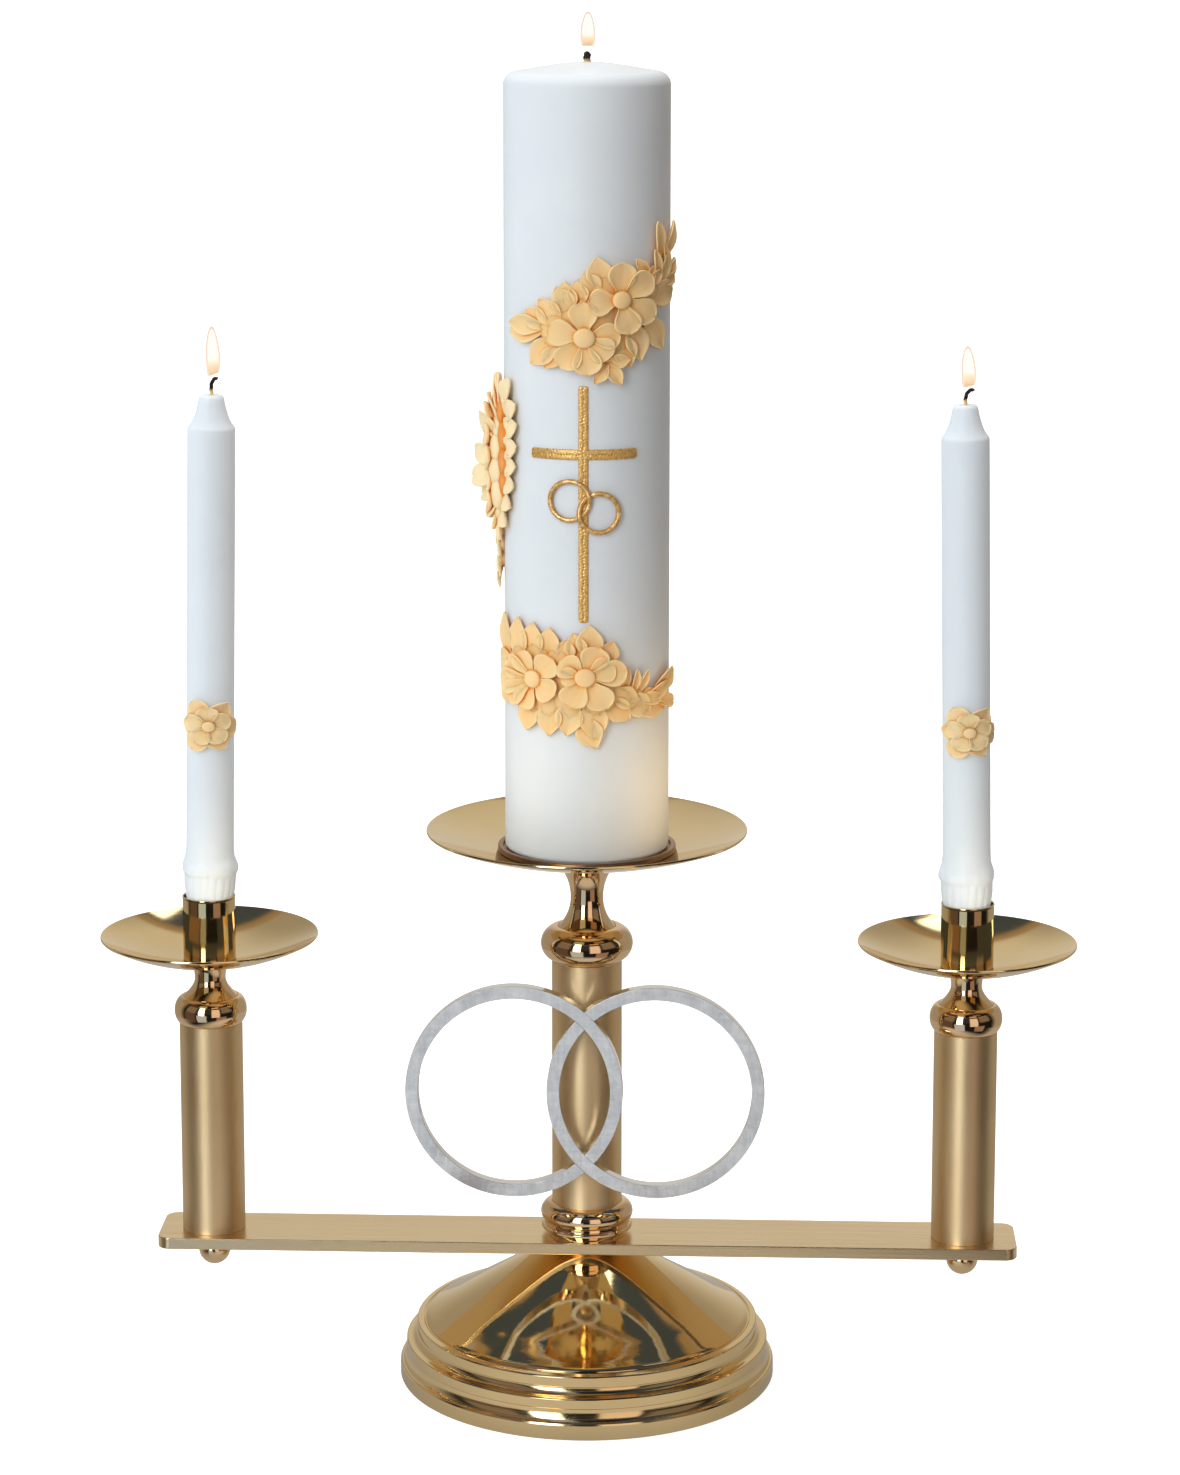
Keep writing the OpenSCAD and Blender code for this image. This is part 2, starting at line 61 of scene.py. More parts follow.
# ------------------------------------------------------------------ shader helper
class Nodes:
    def __init__(self, tree):
        self.t = tree

    def new(self, kind, **values):
        n = self.t.nodes.new(kind)
        for k, v in values.items():
            setattr(n, k, v)
        return n

    def link(self, a, b):
        self.t.links.new(a, b)

    def put(self, sock, v):
        if v is None:
            return
        if isinstance(v, bpy.types.NodeSocket):
            self.link(v, sock)
        else:
            sock.default_value = v

    def m(self, op, a, b=None, c=None, clamp=False):
        n = self.new("ShaderNodeMath", operation=op, use_clamp=clamp)
        for i, v in enumerate((a, b, c)):
            if v is not None:
                self.put(n.inputs[i], v)
        return n.outputs[0]

    def ramp(self, fac, stops, interp="LINEAR"):
        n = self.new("ShaderNodeValToRGB")
        n.color_ramp.interpolation = interp
        while len(n.color_ramp.elements) < len(stops):
            n.color_ramp.elements.new(0.5)
        for e, (p, c) in zip(n.color_ramp.elements, stops):
            e.position = p
            e.color = c if len(c) == 4 else (*c, 1)
        self.put(n.inputs[0], fac)
        return n.outputs[0]

    def mix(self, fac, a, b):
        n = self.new("ShaderNodeMix", data_type="RGBA")
        self.put(n.inputs[0], fac)
        self.put(n.inputs[6], a if isinstance(a, bpy.types.NodeSocket) else (*a[:3], 1))
        self.put(n.inputs[7], b if isinstance(b, bpy.types.NodeSocket) else (*b[:3], 1))
        return n.outputs[2]

    def step(self, x, lo, hi, a=0.0, b=1.0):
        n = self.new("ShaderNodeMapRange", interpolation_type="SMOOTHSTEP", clamp=True)
        self.put(n.inputs[0], x)
        n.inputs[1].default_value = lo
        n.inputs[2].default_value = hi
        n.inputs[3].default_value = a
        n.inputs[4].default_value = b
        return n.outputs[0]

    def lin(self, x, lo, hi, a=0.0, b=1.0):
        n = self.new("ShaderNodeMapRange", clamp=True)
        self.put(n.inputs[0], x)
        n.inputs[1].default_value = lo
        n.inputs[2].default_value = hi
        n.inputs[3].default_value = a
        n.inputs[4].default_value = b
        return n.outputs[0]

    def noise(self, vec, scale, detail=2.0, rough=0.5, distort=0.0):
        n = self.new("ShaderNodeTexNoise")
        self.put(n.inputs["Vector"], vec)
        n.inputs["Scale"].default_value = scale
        n.inputs["Detail"].default_value = detail
        n.inputs["Roughness"].default_value = rough
        n.inputs["Distortion"].default_value = distort
        return n.outputs[0]

    def coords(self, scale=(1, 1, 1), loc=(0, 0, 0), rot=(0, 0, 0)):
        c = self.new("ShaderNodeTexCoord")
        mp = self.new("ShaderNodeMapping")
        mp.inputs["Scale"].default_value = scale
        mp.inputs["Location"].default_value = loc
        mp.inputs["Rotation"].default_value = rot
        self.link(c.outputs["Object"], mp.inputs["Vector"])
        return mp.outputs[0]

    def bump(self, height, strength, dist, normal=None):
        n = self.new("ShaderNodeBump")
        n.inputs["Strength"].default_value = strength
        n.inputs["Distance"].default_value = dist
        self.put(n.inputs["Height"], height)
        if normal is not None:
            self.link(normal, n.inputs["Normal"])
        return n.outputs[0]


def material(name):
    mat = bpy.data.materials.new(name)
    mat.use_nodes = True
    t = mat.node_tree
    t.nodes.clear()
    n = Nodes(t)
    out = n.new("ShaderNodeOutputMaterial")
    bsdf = n.new("ShaderNodeBsdfPrincipled")
    n.link(bsdf.outputs[0], out.inputs[0])
    return mat, n, bsdf


# ------------------------------------------------------------------ materials
def grain_dir(n, b, axis, amount, turn):
    """Fine tool marks run round (or along) one axis, so highlights stretch across them."""
    t = n.new("ShaderNodeTangent", direction_type="RADIAL", axis=axis)
    n.link(t.outputs[0], b.inputs["Tangent"])
    b.inputs["Anisotropic"].default_value = amount
    b.inputs["Anisotropic Rotation"].default_value = turn


def brass(name, color=(0.88, 0.665, 0.345), dark=(0.82, 0.595, 0.285), rough=0.035, spread=0.03,
          bump=0.02, turned=0.0, turned_scale=900.0, aniso=0.0):
    """Polished or satin brass, turned on a lathe: fine rings round the axis when turned > 0."""
    mat, n, b = material(name)
    if aniso:
        grain_dir(n, b, "Z", aniso, 0.25)
    v = n.coords()
    big = n.noise(v, 18, 3, 0.55)
    fine = n.noise(v, 420, 3, 0.6)
    smear = n.noise(n.coords(scale=(60, 60, 14)), 1.0, 3, 0.6, 0.4)
    n.link(n.mix(n.lin(big, 0.35, 0.75), color, dark), b.inputs["Base Color"])
    b.inputs["Metallic"].default_value = 1.0
    r = n.m("ADD", n.lin(smear, 0.3, 0.75, rough, rough + spread), n.lin(fine, 0.4, 0.8, 0.0, spread * 0.5))
    h = fine
    if turned > 0:
        rings = n.noise(n.coords(scale=(6, 6, turned_scale)), 1.0, 2, 0.7)
        h = n.m("ADD", n.m("MULTIPLY", rings, turned), n.m("MULTIPLY", fine, 0.25))
        r = n.m("ADD", r, n.lin(rings, 0.3, 0.7, -0.03, 0.04))
    n.link(r, b.inputs["Roughness"])
    n.link(n.bump(h, bump, 0.0006), b.inputs["Normal"])
    return mat


def spun(name, color, dark, rough, spread, rings_amp=0.25):
    """Spun sheet: faint concentric rings about the piece's own vertical axis (read from the 'turn' attribute that lathe
    writes).
    """
    mat, n, b = material(name)
    grain_dir(n, b, "Z", 0.30, 0.25)
    att = n.new("ShaderNodeAttribute", attribute_name="turn")   # x: radius in mm / 100, y: angle, z: height
    sep = n.new("ShaderNodeSeparateXYZ")
    n.link(att.outputs["Vector"], sep.inputs[0])
    comb = n.new("ShaderNodeCombineXYZ")
    n.put(comb.inputs[0], n.m("MULTIPLY", sep.outputs[0], 90.0))
    n.put(comb.inputs[1], n.m("MULTIPLY", sep.outputs[1], 1.5))
    rings = n.noise(comb.outputs[0], 1.0, 3, 0.7)
    fine = n.noise(n.coords(), 380, 3, 0.6)
    big = n.noise(n.coords(), 22, 3, 0.5)
    n.link(n.mix(n.lin(big, 0.35, 0.75), color, dark), b.inputs["Base Color"])
    b.inputs["Metallic"].default_value = 1.0
    n.link(n.m("ADD", n.lin(rings, 0.3, 0.7, rough, rough + spread), n.lin(fine, 0.4, 0.8, 0, spread * 0.4)), b.inputs["Roughness"])
    n.link(n.bump(n.m("ADD", n.m("MULTIPLY", rings, rings_amp), n.m("MULTIPLY", fine, 0.1)), 0.05, 0.0006), b.inputs["Normal"])
    return mat


def brushed(name, color, dark, rough, spread, along=(0, 0, 1), bump=0.08, metallic=1.0, aniso=0.0):
    """Satin metal with straight grain along one axis."""
    mat, n, b = material(name)
    if aniso:
        grain_dir(n, b, "X", aniso, 0.0)
    s = [1400.0, 1400.0, 1400.0]
    for i in range(3):
        if along[i]:
            s[i] = 22.0
    grain = n.noise(n.coords(scale=tuple(s)), 1.0, 3, 0.7)
    s2 = [v * 0.22 for v in s]
    wide = n.noise(n.coords(scale=tuple(s2)), 1.0, 2, 0.6)
    big = n.noise(n.coords(), 14, 2, 0.5)
    tone = n.m("ADD", n.m("MULTIPLY", grain, 0.45), n.m("ADD", n.m("MULTIPLY", wide, 0.35), n.m("MULTIPLY", big, 0.2)))
    n.link(n.mix(n.lin(tone, 0.32, 0.68), dark, color), b.inputs["Base Color"])
    b.inputs["Metallic"].default_value = metallic
    n.link(n.lin(tone, 0.3, 0.7, rough + spread, rough), b.inputs["Roughness"])
    n.link(n.bump(n.m("ADD", grain, n.m("MULTIPLY", wide, 0.6)), bump, 0.0004), b.inputs["Normal"])
    return mat


M = {}
M["polished"] = brass("brass_polished")
M["foot"] = brass("brass_turned_foot", (0.88, 0.67, 0.36), (0.80, 0.585, 0.29), rough=0.075, spread=0.05, bump=0.07, turned=1.0, turned_scale=700.0)
M["polished_soft"] = brass("brass_polished_soft", (0.90, 0.655, 0.385), (0.84, 0.585, 0.32), rough=0.045, spread=0.03)
M["pan"] = spun("brass_spun", (0.90, 0.70, 0.395), (0.84, 0.63, 0.325), 0.075, 0.045)
M["column"] = brass("brass_satin_turned", color=(0.90, 0.69, 0.41), dark=(0.82, 0.60, 0.325), rough=0.46, spread=0.07,
                    bump=0.10, turned=1.0, turned_scale=1100.0, aniso=0.55)
M["bar"] = brushed("brass_brushed_bar", (0.95, 0.755, 0.475), (0.85, 0.64, 0.37), 0.22, 0.07, along=(1, 0, 0), aniso=0.4)


def silver():
    """Silver plate wiped by hand: short marks round each ring, cloudy patches that paint in dark reflections, a little
    brown low down.
    """
    mat, n, b = material("silver_brushed")
    v = n.coords()
    marks = n.noise(n.coords(scale=(420, 420, 90)), 1.0, 4, 0.7, 0.6)
    marks2 = n.noise(n.coords(scale=(100, 420, 380)), 1.0, 4, 0.7, 0.6)
    reflection_mottle = n.noise(v, 46, 4, 0.6, 0.4)
    big = n.noise(v, 13, 2, 0.5)
    sep = n.new("ShaderNodeSeparateXYZ")
    n.link(v, sep.inputs[0])
    # the cloudy patches are painted dark reflections mixed into the tone
    tone = n.m("ADD", n.m("MULTIPLY", marks, 0.30), n.m("ADD", n.m("MULTIPLY", marks2, 0.25), n.m("MULTIPLY", reflection_mottle, 0.45)))
    pale = n.mix(n.lin(tone, 0.38, 0.62), (0.56, 0.57, 0.585), (0.93, 0.93, 0.93))
    low = n.m("MULTIPLY", n.lin(sep.outputs[2], 0.116, 0.096), n.lin(big, 0.40, 0.62, 0.15, 0.85))
    n.link(n.mix(low, pale, n.mix(n.lin(tone, 0.4, 0.6), (0.30, 0.25, 0.22), (0.70, 0.665, 0.635))), b.inputs["Base Color"])
    b.inputs["Metallic"].default_value = 0.42
    n.link(n.lin(tone, 0.35, 0.65, 0.46, 0.28), b.inputs["Roughness"])
    n.link(n.bump(n.m("ADD", marks, n.m("MULTIPLY", reflection_mottle, 0.6)), 0.14, 0.0005), b.inputs["Normal"])
    return mat


M["ring_face"] = silver()
M["ring_wall"] = brass("silver_bright", color=(0.88, 0.88, 0.885), dark=(0.80, 0.80, 0.81), rough=0.06, spread=0.05)
M["seat"] = brass("bronze_seat", color=(0.46, 0.29, 0.175), dark=(0.34, 0.20, 0.115), rough=0.30, spread=0.08, bump=0.06)
M["steel"] = brass("steel_zinc", color=(0.50, 0.51, 0.52), dark=(0.38, 0.39, 0.40), rough=0.26, spread=0.14, bump=0.1)


def iron():
    mat, n, b = material("iron_cast")
    c = n.noise(n.coords(), 260, 5, 0.65)
    n.link(n.mix(n.lin(c, 0.35, 0.7), (0.035, 0.035, 0.037), (0.075, 0.07, 0.066)), b.inputs["Base Color"])
    b.inputs["Metallic"].default_value = 0.6
    n.link(n.lin(c, 0.3, 0.7, 0.5, 0.75), b.inputs["Roughness"])
    n.link(n.bump(c, 0.6, 0.0008), b.inputs["Normal"])
    return mat


def felt():
    mat, n, b = material("felt_brown")
    c = n.noise(n.coords(), 900, 6, 0.7, 1.5)
    d = n.noise(n.coords(), 90, 3, 0.6)
    n.link(n.mix(n.lin(c, 0.3, 0.7), (0.035, 0.018, 0.010), (0.085, 0.048, 0.028)), b.inputs["Base Color"])
    n.link(n.lin(d, 0.3, 0.7, 0.88, 0.98), b.inputs["Roughness"])
    b.inputs["Sheen Weight"].default_value = 0.35
    b.inputs["Sheen Roughness"].default_value = 0.5
    n.link(n.bump(c, 0.8, 0.0006), b.inputs["Normal"])
    return mat


M["iron"] = iron()
M["felt"] = felt()


def wax(name, color, tint, sss=0.35, rough=0.38, bump=0.05, scale=1.0, depth=0.006, painted_glow=0.0):
    mat, n, b = material(name)
    v = n.coords()
    cloud = n.noise(v, 26 * scale, 4, 0.55, 0.3)
    pit = n.noise(v, 700 * scale, 2, 0.5)
    dents = n.noise(n.coords(scale=(40, 40, 12)), 1.0, 3, 0.5)
    n.link(n.mix(n.lin(cloud, 0.35, 0.7), color, tint), b.inputs["Base Color"])
    b.inputs["Subsurface Weight"].default_value = sss
    b.inputs["Subsurface Radius"].default_value = (1.0, 0.85, 0.70)
    b.inputs["Subsurface Scale"].default_value = depth
    if painted_glow:                                   # painted glow: a faint emission that evens out the thin candle's shading, standing in for light carried through the wax
        b.inputs["Emission Color"].default_value = (0.90, 0.96, 1.0, 1)
        b.inputs["Emission Strength"].default_value = painted_glow
    b.inputs["IOR"].default_value = 1.44
    b.inputs["Specular IOR Level"].default_value = 0.42
    n.link(n.m("ADD", n.lin(cloud, 0.3, 0.7, rough, rough + 0.08), n.lin(pit, 0.45, 0.8, 0, 0.08)), b.inputs["Roughness"])
    n.link(n.bump(n.m("ADD", n.m("MULTIPLY", dents, 1.0), n.m("MULTIPLY", pit, 0.12)), bump, 0.0012), b.inputs["Normal"])
    return mat


M["wax"] = wax("wax_white", (0.755, 0.785, 0.805), (0.72, 0.755, 0.78))
# the taper wax is a darker copy of the white wax with a painted glow added
M["wax_taper"] = wax("wax_white_taper", (0.62, 0.665, 0.70), (0.59, 0.635, 0.675), sss=0.55, depth=0.009, painted_glow=0.15)


# ------------------------------------------------------------------ mesh helpers
def add_object(name, mesh, body, mats, replaces=()):
    o = bpy.data.objects.new(name, mesh)
    bpy.context.scene.collection.objects.link(o)
    for m_ in (mats if isinstance(mats, (list, tuple)) else [mats]):
        o.data.materials.append(m_)
    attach(o, body)
    if replaces:
        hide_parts(*replaces)
    return o


def finish_mesh(mesh, normals=None):
    mesh.update()
    mesh.polygons.foreach_set("use_smooth", [True] * len(mesh.polygons))
    if normals is not None:
        mesh.normals_split_custom_set_from_vertices(normals)
    mesh.update()


def smooth_path(corners, closed=False, fillet=0.15):
    """corners: (r, z) or (r, z, fillet). Returns [(r, z, nr, nz)] with the corners rounded and the exact normals."""
    pts = [(c[0], c[1], (c[2] if len(c) > 2 else fillet)) for c in corners]
    out = []
    n = len(pts)

    def unit(a, b):
        d = hypot(b[0] - a[0], b[1] - a[1]) or 1e-9
        return ((b[0] - a[0]) / d, (b[1] - a[1]) / d, d)

    seg_end = {}
    for i in range(n):
        p = pts[i]
        if not closed and i in (0, n - 1):
            q = pts[1] if i == 0 else pts[n - 2]
            d = unit(p, q) if i == 0 else unit(q, p)
            out.append((p[0], p[1], d[1], -d[0], i))
            continue
        a, c = pts[(i - 1) % n], pts[(i + 1) % n]
        d1, d2 = unit(a, p), unit(p, c)
        turn = atan2(d1[0] * d2[1] - d1[1] * d2[0], d1[0] * d2[0] + d1[1] * d2[1])
        if abs(turn) < radians(17):
            tr, tz = d1[0] + d2[0], d1[1] + d2[1]
            l = hypot(tr, tz) or 1e-9
            out.append((p[0], p[1], tz / l, -tr / l, i))
            continue
        t = min(p[2] * tan(abs(turn) / 2), 0.45 * d1[2], 0.45 * d2[2])
        f = t / tan(abs(turn) / 2)
        s = (p[0] - d1[0] * t, p[1] - d1[1] * t)
        sgn = 1 if turn > 0 else -1
        cx, cz = s[0] - sgn * d1[1] * f, s[1] + sgn * d1[0] * f
        k = max(3, int(abs(turn) / radians(14)) + 1)
        for j in range(k + 1):
            g = turn * j / k
            ux, uz = s[0] - cx, s[1] - cz
            x = cx + ux * cos(g) - uz * sin(g)
            z = cz + ux * sin(g) + uz * cos(g)
            dx, dz = d1[0] * cos(g) - d1[1] * sin(g), d1[0] * sin(g) + d1[1] * cos(g)
            out.append((x, z, dz, -dx, i))
    # long straight stretches get extra rings near the fillets
    res = []
    m = len(out)
    for i in range(m):
        a = out[i]
        res.append(a[:4])
        if i == m - 1 and not closed:
            break
        b = out[(i + 1) % m]
        if a[4] != b[4]:
            d = hypot(b[0] - a[0], b[1] - a[1])
            if d > 6:
                k = int(d / 6)
                for j in range(1, k + 1):
                    u = j / (k + 1)
                    nr, nz = a[2] + (b[2] - a[2]) * u, a[3] + (b[3] - a[3]) * u
                    l = hypot(nr, nz) or 1
                    res.append((a[0] + (b[0] - a[0]) * u, a[1] + (b[1] - a[1]) * u, nr / l, nz / l))
    return res


def lathe(name, prof, body, mats, replaces, seg=128, cx=0.0, closed=False, fillet=0.15,
          mat_of=None, turn_attr=False, wobble=None, place=None):
    """Turned piece about a vertical axis through (cx, 0). Profile in mm, counter-clockwise."""
    path = smooth_path(prof, closed, fillet)
    verts, norms, rows, attr = [], [], [], []
    for (r, z, nr, nz) in path:
        if r < 1e-4:
            rows.append([len(verts)])
            verts.append(((cx) * MM, 0, z * MM))
            norms.append((0, 0, 1 if nz > 0 else -1))
            attr.append((0, 0, z / 100))
            continue
        row = []
        for j in range(seg):
            a = 2 * pi * (j + 0.5) / seg
            rr = r + (wobble(r, z, a) if wobble else 0)
            row.append(len(verts))
            verts.append(((cx + rr * cos(a)) * MM, rr * sin(a) * MM, z * MM))
            norms.append((nr * cos(a), nr * sin(a), nz))
            attr.append((r / 100, a, z / 100))
        rows.append(row)
    faces, fm = [], []
    pairs = list(zip(rows[:-1], rows[1:])) + ([(rows[-1], rows[0])] if closed else [])
    for k, (lo, hi) in enumerate(pairs):
        if len(lo) == 1 and len(hi) == 1:
            continue
        mi = mat_of(path[k], path[(k + 1) % len(path)]) if mat_of else 0
        for j in range(seg):
            j2 = (j + 1) % seg
            if len(lo) == 1:
                faces.append((lo[0], hi[j2], hi[j])); fm.append(mi)
            elif len(hi) == 1:
                faces.append((lo[j], lo[j2], hi[0])); fm.append(mi)
            else:
                faces.append((lo[j], lo[j2], hi[j2], hi[j])); fm.append(mi)
    mesh = bpy.data.meshes.new(name)
    if place is not None:
        verts = [tuple(place @ Vector(v)) for v in verts]
        rot = place.to_3x3()
        norms = [tuple(rot @ Vector(v)) for v in norms]
    mesh.from_pydata(verts, [], faces)
    mesh.polygons.foreach_set("material_index", fm)
    finish_mesh(mesh, None if wobble else norms)
    if turn_attr:
        at = mesh.attributes.new("turn", "FLOAT_VECTOR", "POINT")
        at.data.foreach_set("vector", [c for a in attr for c in a])
    return add_object(name, mesh, body, mats, replaces)


def earc(cr, cz, a, b, t0, t1, n):
    return [(cr + a * cos(radians(t0 + (t1 - t0) * i / n)), cz + b * sin(radians(t0 + (t1 - t0) * i / n))) for i in range(n + 1)]


def cap_z(zc, rho, s, r):
    return zc + rho - sqrt(s * s - r * r)


def dish(zc, rho, t, r0, R, n):
    lo = [(r0 + (R - t / 2 - r0) * i / n, cap_z(zc, rho, rho, r0 + (R - t / 2 - r0) * i / n)) for i in range(n + 1)]
    ro = [(R, cap_z(zc, rho, rho, R) + 0.35, 0.45), (R - 0.15, cap_z(zc, rho, rho, R) + t + 0.1, 0.5)]
    up = [(R - 1.1 - (R - 1.1 - r0) * i / n, cap_z(zc, rho, rho - t, R - 1.1 - (R - 1.1 - r0) * i / n)) for i in range(n + 1)]
    return lo + ro + up


# ------------------------------------------------------------------ stand: base
R = 88.9
BAR_Z, BAR_T = 64.2, 5.5
BAR_TOP = BAR_Z + BAR_T
base_prof = (
    [(R - 1.7, 0.6, 0.2), (R - 0.6, 0.6, 0.5), (R, 1.4, 0.7), (R, 7.6, 0.5), (R - 0.35, 8.4, 0.3), (R - 0.8, 8.7, 0.25)]
    + [(R - 0.8 - 2.6 * sin(radians(t)), 8.7 + 5.5 * (1 - cos(radians(t)))) for t in (15, 27, 39, 51, 63, 75, 86)]
    + [(R - 3.4, 14.3, 0.12), (R - 3.1, 14.6, 0.15), (R - 3.05, 18.8, 0.3), (R - 3.5, 19.3, 0.3), (R - 4.5, 19.5, 0.25)]
    + [(R - 4.5 - 3.9 * sin(radians(t)), 19.5 + 3.2 * (1 - cos(radians(t)))) for t in (14, 26, 38, 50, 62, 74, 85)]
    + [(R - 8.4, 22.85, 0.12), (R - 8.05, 23.1, 0.15), (R - 8.05, 27.5, 0.3), (R - 8.5, 28.1, 0.35), (R - 10.9, 28.45, 0.25),
       (R - 11.7, 28.0, 0.25), (R - 12.3, 28.2, 0.2), (R - 12.4, 28.9, 0.3), (R - 13, 29.5, 0.4), (R - 14.4, 30.25, 1.0),
       (R - 17, 31.5, 1.5), (R - 19.9, 33.1, 1.5), (R - 23, 34.8, 1.5), (R - 26.1, 36.6, 2.0),
       (17.5, BAR_Z - 0.1, 0.1), (17.2, BAR_Z, 0.1), (4.3, BAR_Z, 0.1)]
    + [(4.3, BAR_Z - 2.5, 0.2), (18, BAR_Z - 2.5, 0.5), (R - 27.9, 35.9, 1), (R - 14.4, 28.1, 1), (R - 10.1, 26.4, 0.5),
       (R - 10.1, 21.5, 0.5), (R - 5.3, 18.2, 0.5), (R - 5.1, 13.2, 0.5), (R - 2.3, 8, 0.5), (R - 1.7, 7, 0.3)])
lathe("base_turned", base_prof, "stand", [M["polished"], M["foot"]], ["base_shell"], seg=224, closed=True,
      mat_of=lambda a, b: 1 if max(a[1], b[1]) < 28.6 and min(a[0], b[0]) > R - 12.5 else 0)

# ------------------------------------------------------------------ stand: centre
Q = 21.7
CR = 16.5
LOWER = ([(4.3, BAR_TOP, 0.1), (Q - 2.0, BAR_TOP, 0.2), (Q - 1.7, BAR_TOP + 1.2, 0.4), (Q - 0.7, BAR_TOP + 2.6, 0.6),
          (Q - 0.2, BAR_TOP + 3.6, 0.5), (Q - 0.2, BAR_TOP + 4.5, 0.4), (Q - 0.7, BAR_TOP + 5.2, 0.3), (Q - 1.5, BAR_TOP + 5.5, 0.2)]
         + earc(14.4, 80.1, Q - 14.3, 5.9, -40, 70, 22)
         + [(CR - 0.2, 85.5, 0.1), (CR - 0.2, 84.6, 0.1), (CR - 2.05, 84.6, 0.1), (CR - 2.05, 90.6, 0.3), (4.3, 90.6, 0.1)])
lathe("collar_lower", LOWER, "stand", M["polished_soft"], ["lower_collar"], seg=128, closed=True)
lathe("column_centre", [(CR - 2, 84.6), (CR - 0.15, 84.6), (CR, 84.75), (CR, 203.05), (CR - 0.15, 203.2), (CR - 2, 203.2)],
      "stand", M["column"], ["centre_column"], seg=128, closed=True, fillet=0.1)
UPPER = ([(4.3, 197.2, 0.1), (CR - 2.05, 197.2, 0.3), (CR - 2.05, 203.2, 0.1), (CR - 0.1, 203.2, 0.1)]
         + earc(13.5, 211.4, Q - 13.5, 8.3, -66, 88, 30) + [(13.2, 218.9, 0.1), (4.3, 218.9, 0.1)])
lathe("collar_upper", UPPER, "stand", M["polished_soft"], ["upper_collar"], seg=128, closed=True)
NECK = ([(4.02, 218.9, 0.1), (13.15, 218.9, 0.1), (13.3, 219.4, 0.2)]
        + [(7.7 + 5.5 * ((233.5 - z) / 14.1) ** 2.2, z) for z in [219.4 + 14.1 * i / 18 for i in range(1, 19)]]
        + [(7.7 + 2.45 * ((z - 233.5) / 10.5) ** 2.1, z) for z in [233.5 + 16.7 * i / 18 for i in range(1, 19)]]
        + [(14.7, 251.2, 0.1), (14.5, 251.4, 0.05), (2.95, 250.95, 0.05), (2.95, 238.8, 0.1), (4.02, 236.6, 0.1)])
lathe("neck_centre", NECK, "stand", M["polished_soft"], ["centre_neck"], seg=112, closed=True)
def underside(a, b):
    return 1 if a[3] < -0.2 else 0


lathe("pan_centre", dish(251, 205, 1.3, 3.4, 75, 44), "stand", [M["pan"], M["polished"]], ["centre_pan"], seg=192,
      closed=True, turn_attr=True, mat_of=underside)
SEAT = [(3.2, 252.75, 0.1), (12, 252.75, 0.2), (12, 256.6, 0.1), (41.2, 256.6, 0.2), (41.5, 256.9, 0.2), (41.5, 258.8, 0.25),
        (41.1, 259.2, 0.25), (39.2, 259.2, 0.2), (38.9, 258.9, 0.15), (38.9, 258.0, 0.1), (5.8, 258.0, 0.1), (3.2, 255.4, 0.1)]
lathe("seat_disc", SEAT, "stand", M["seat"], ["candle_seat"], seg=160, closed=True)

# ------------------------------------------------------------------ stand: side arms
SR, TR = 14.85, 2.5
for side, sx in (("left", -178.0), ("right", 178.0)):
    lathe(side + "_column_tube", [(SR - 2, BAR_TOP), (SR - 0.15, BAR_TOP), (SR, BAR_TOP + 0.15), (SR, 170.85), (SR - 0.15, 171), (SR - 2, 171)],
          "stand", M["column"], [side + "_column"], seg=112, cx=sx, closed=True, fillet=0.1)
    lathe(side + "_collar_bead", [(TR + 0.2, 165, 0.1), (SR - 2.05, 165, 0.3), (SR - 2.05, 171, 0.1), (SR - 0.1, 171, 0.1)]
          + earc(12.6, 176.9, 4.5, 6.8, -60, 86, 26) + [(12.6, 183.2, 0.1), (TR + 0.2, 183.2, 0.1)],
          "stand", M["polished_soft"], [side + "_collar"], seg=112, cx=sx, closed=True)
    lathe(side + "_neck_turned", [(TR + 0.2, 183.2, 0.1), (12.5, 183.2, 0.1), (12.7, 183.7, 0.2)]
          + [(7.3 + 5.4 * ((192 - z) / 8.3) ** 1.7, z) for z in [183.7 + 8.3 * i / 14 for i in range(1, 15)]]
          + [(7.3 + 1.2 * ((z - 192) / 7.2) ** 2, z) for z in [192 + 7.2 * i / 8 for i in range(1, 9)]]
          + [(8.3, 199.7, 0.1), (TR + 0.2, 199.45, 0.05)],
          "stand", M["polished_soft"], [side + "_neck"], seg=96, cx=sx, closed=True)
    lathe(side + "_pan_spun", dish(199.5, 107.3, 1.3, TR + 0.2, 51.2, 36), "stand", [M["pan"], M["polished"]],
          [side + "_pan"], seg=160, cx=sx, closed=True, turn_attr=True, mat_of=underside)
    q = 12.4
    lathe(side + "_socket_cup", [(TR + 0.02, 200.95, 0.1), (6, 200.95, 0.1), (6, 201.6, 0.1), (q - 0.2, 201.6, 0.15), (q, 201.9, 0.15),
          (q, 202.4), (q, 230.8), (q, 231.1, 0.8), (q + 0.15, 231.9, 0.4), (q + 0.05, 232.3, 0.2), (q - 0.45, 232.3, 0.2), (q - 0.7, 231.8, 0.2),
          (q - 0.7, 206.4, 0.3), (0, 206.4), (0, 205.2), (TR + 0.02, 205.2, 0.05)],
          "stand", M["polished"], [side + "_socket"], seg=112, cx=sx, closed=True)
    lathe(side + "_ball", [(TR + 0.02, BAR_Z, 0.05), (TR + 0.02, 56, 0.1), (0, 56)] + earc(0, 58.6, 7.5, 7.5, -90, 40, 34) + [(5, BAR_Z, 0.1)],
          "stand", M["polished_soft"], [side + "_ball_nut"], seg=80, cx=sx, closed=True)


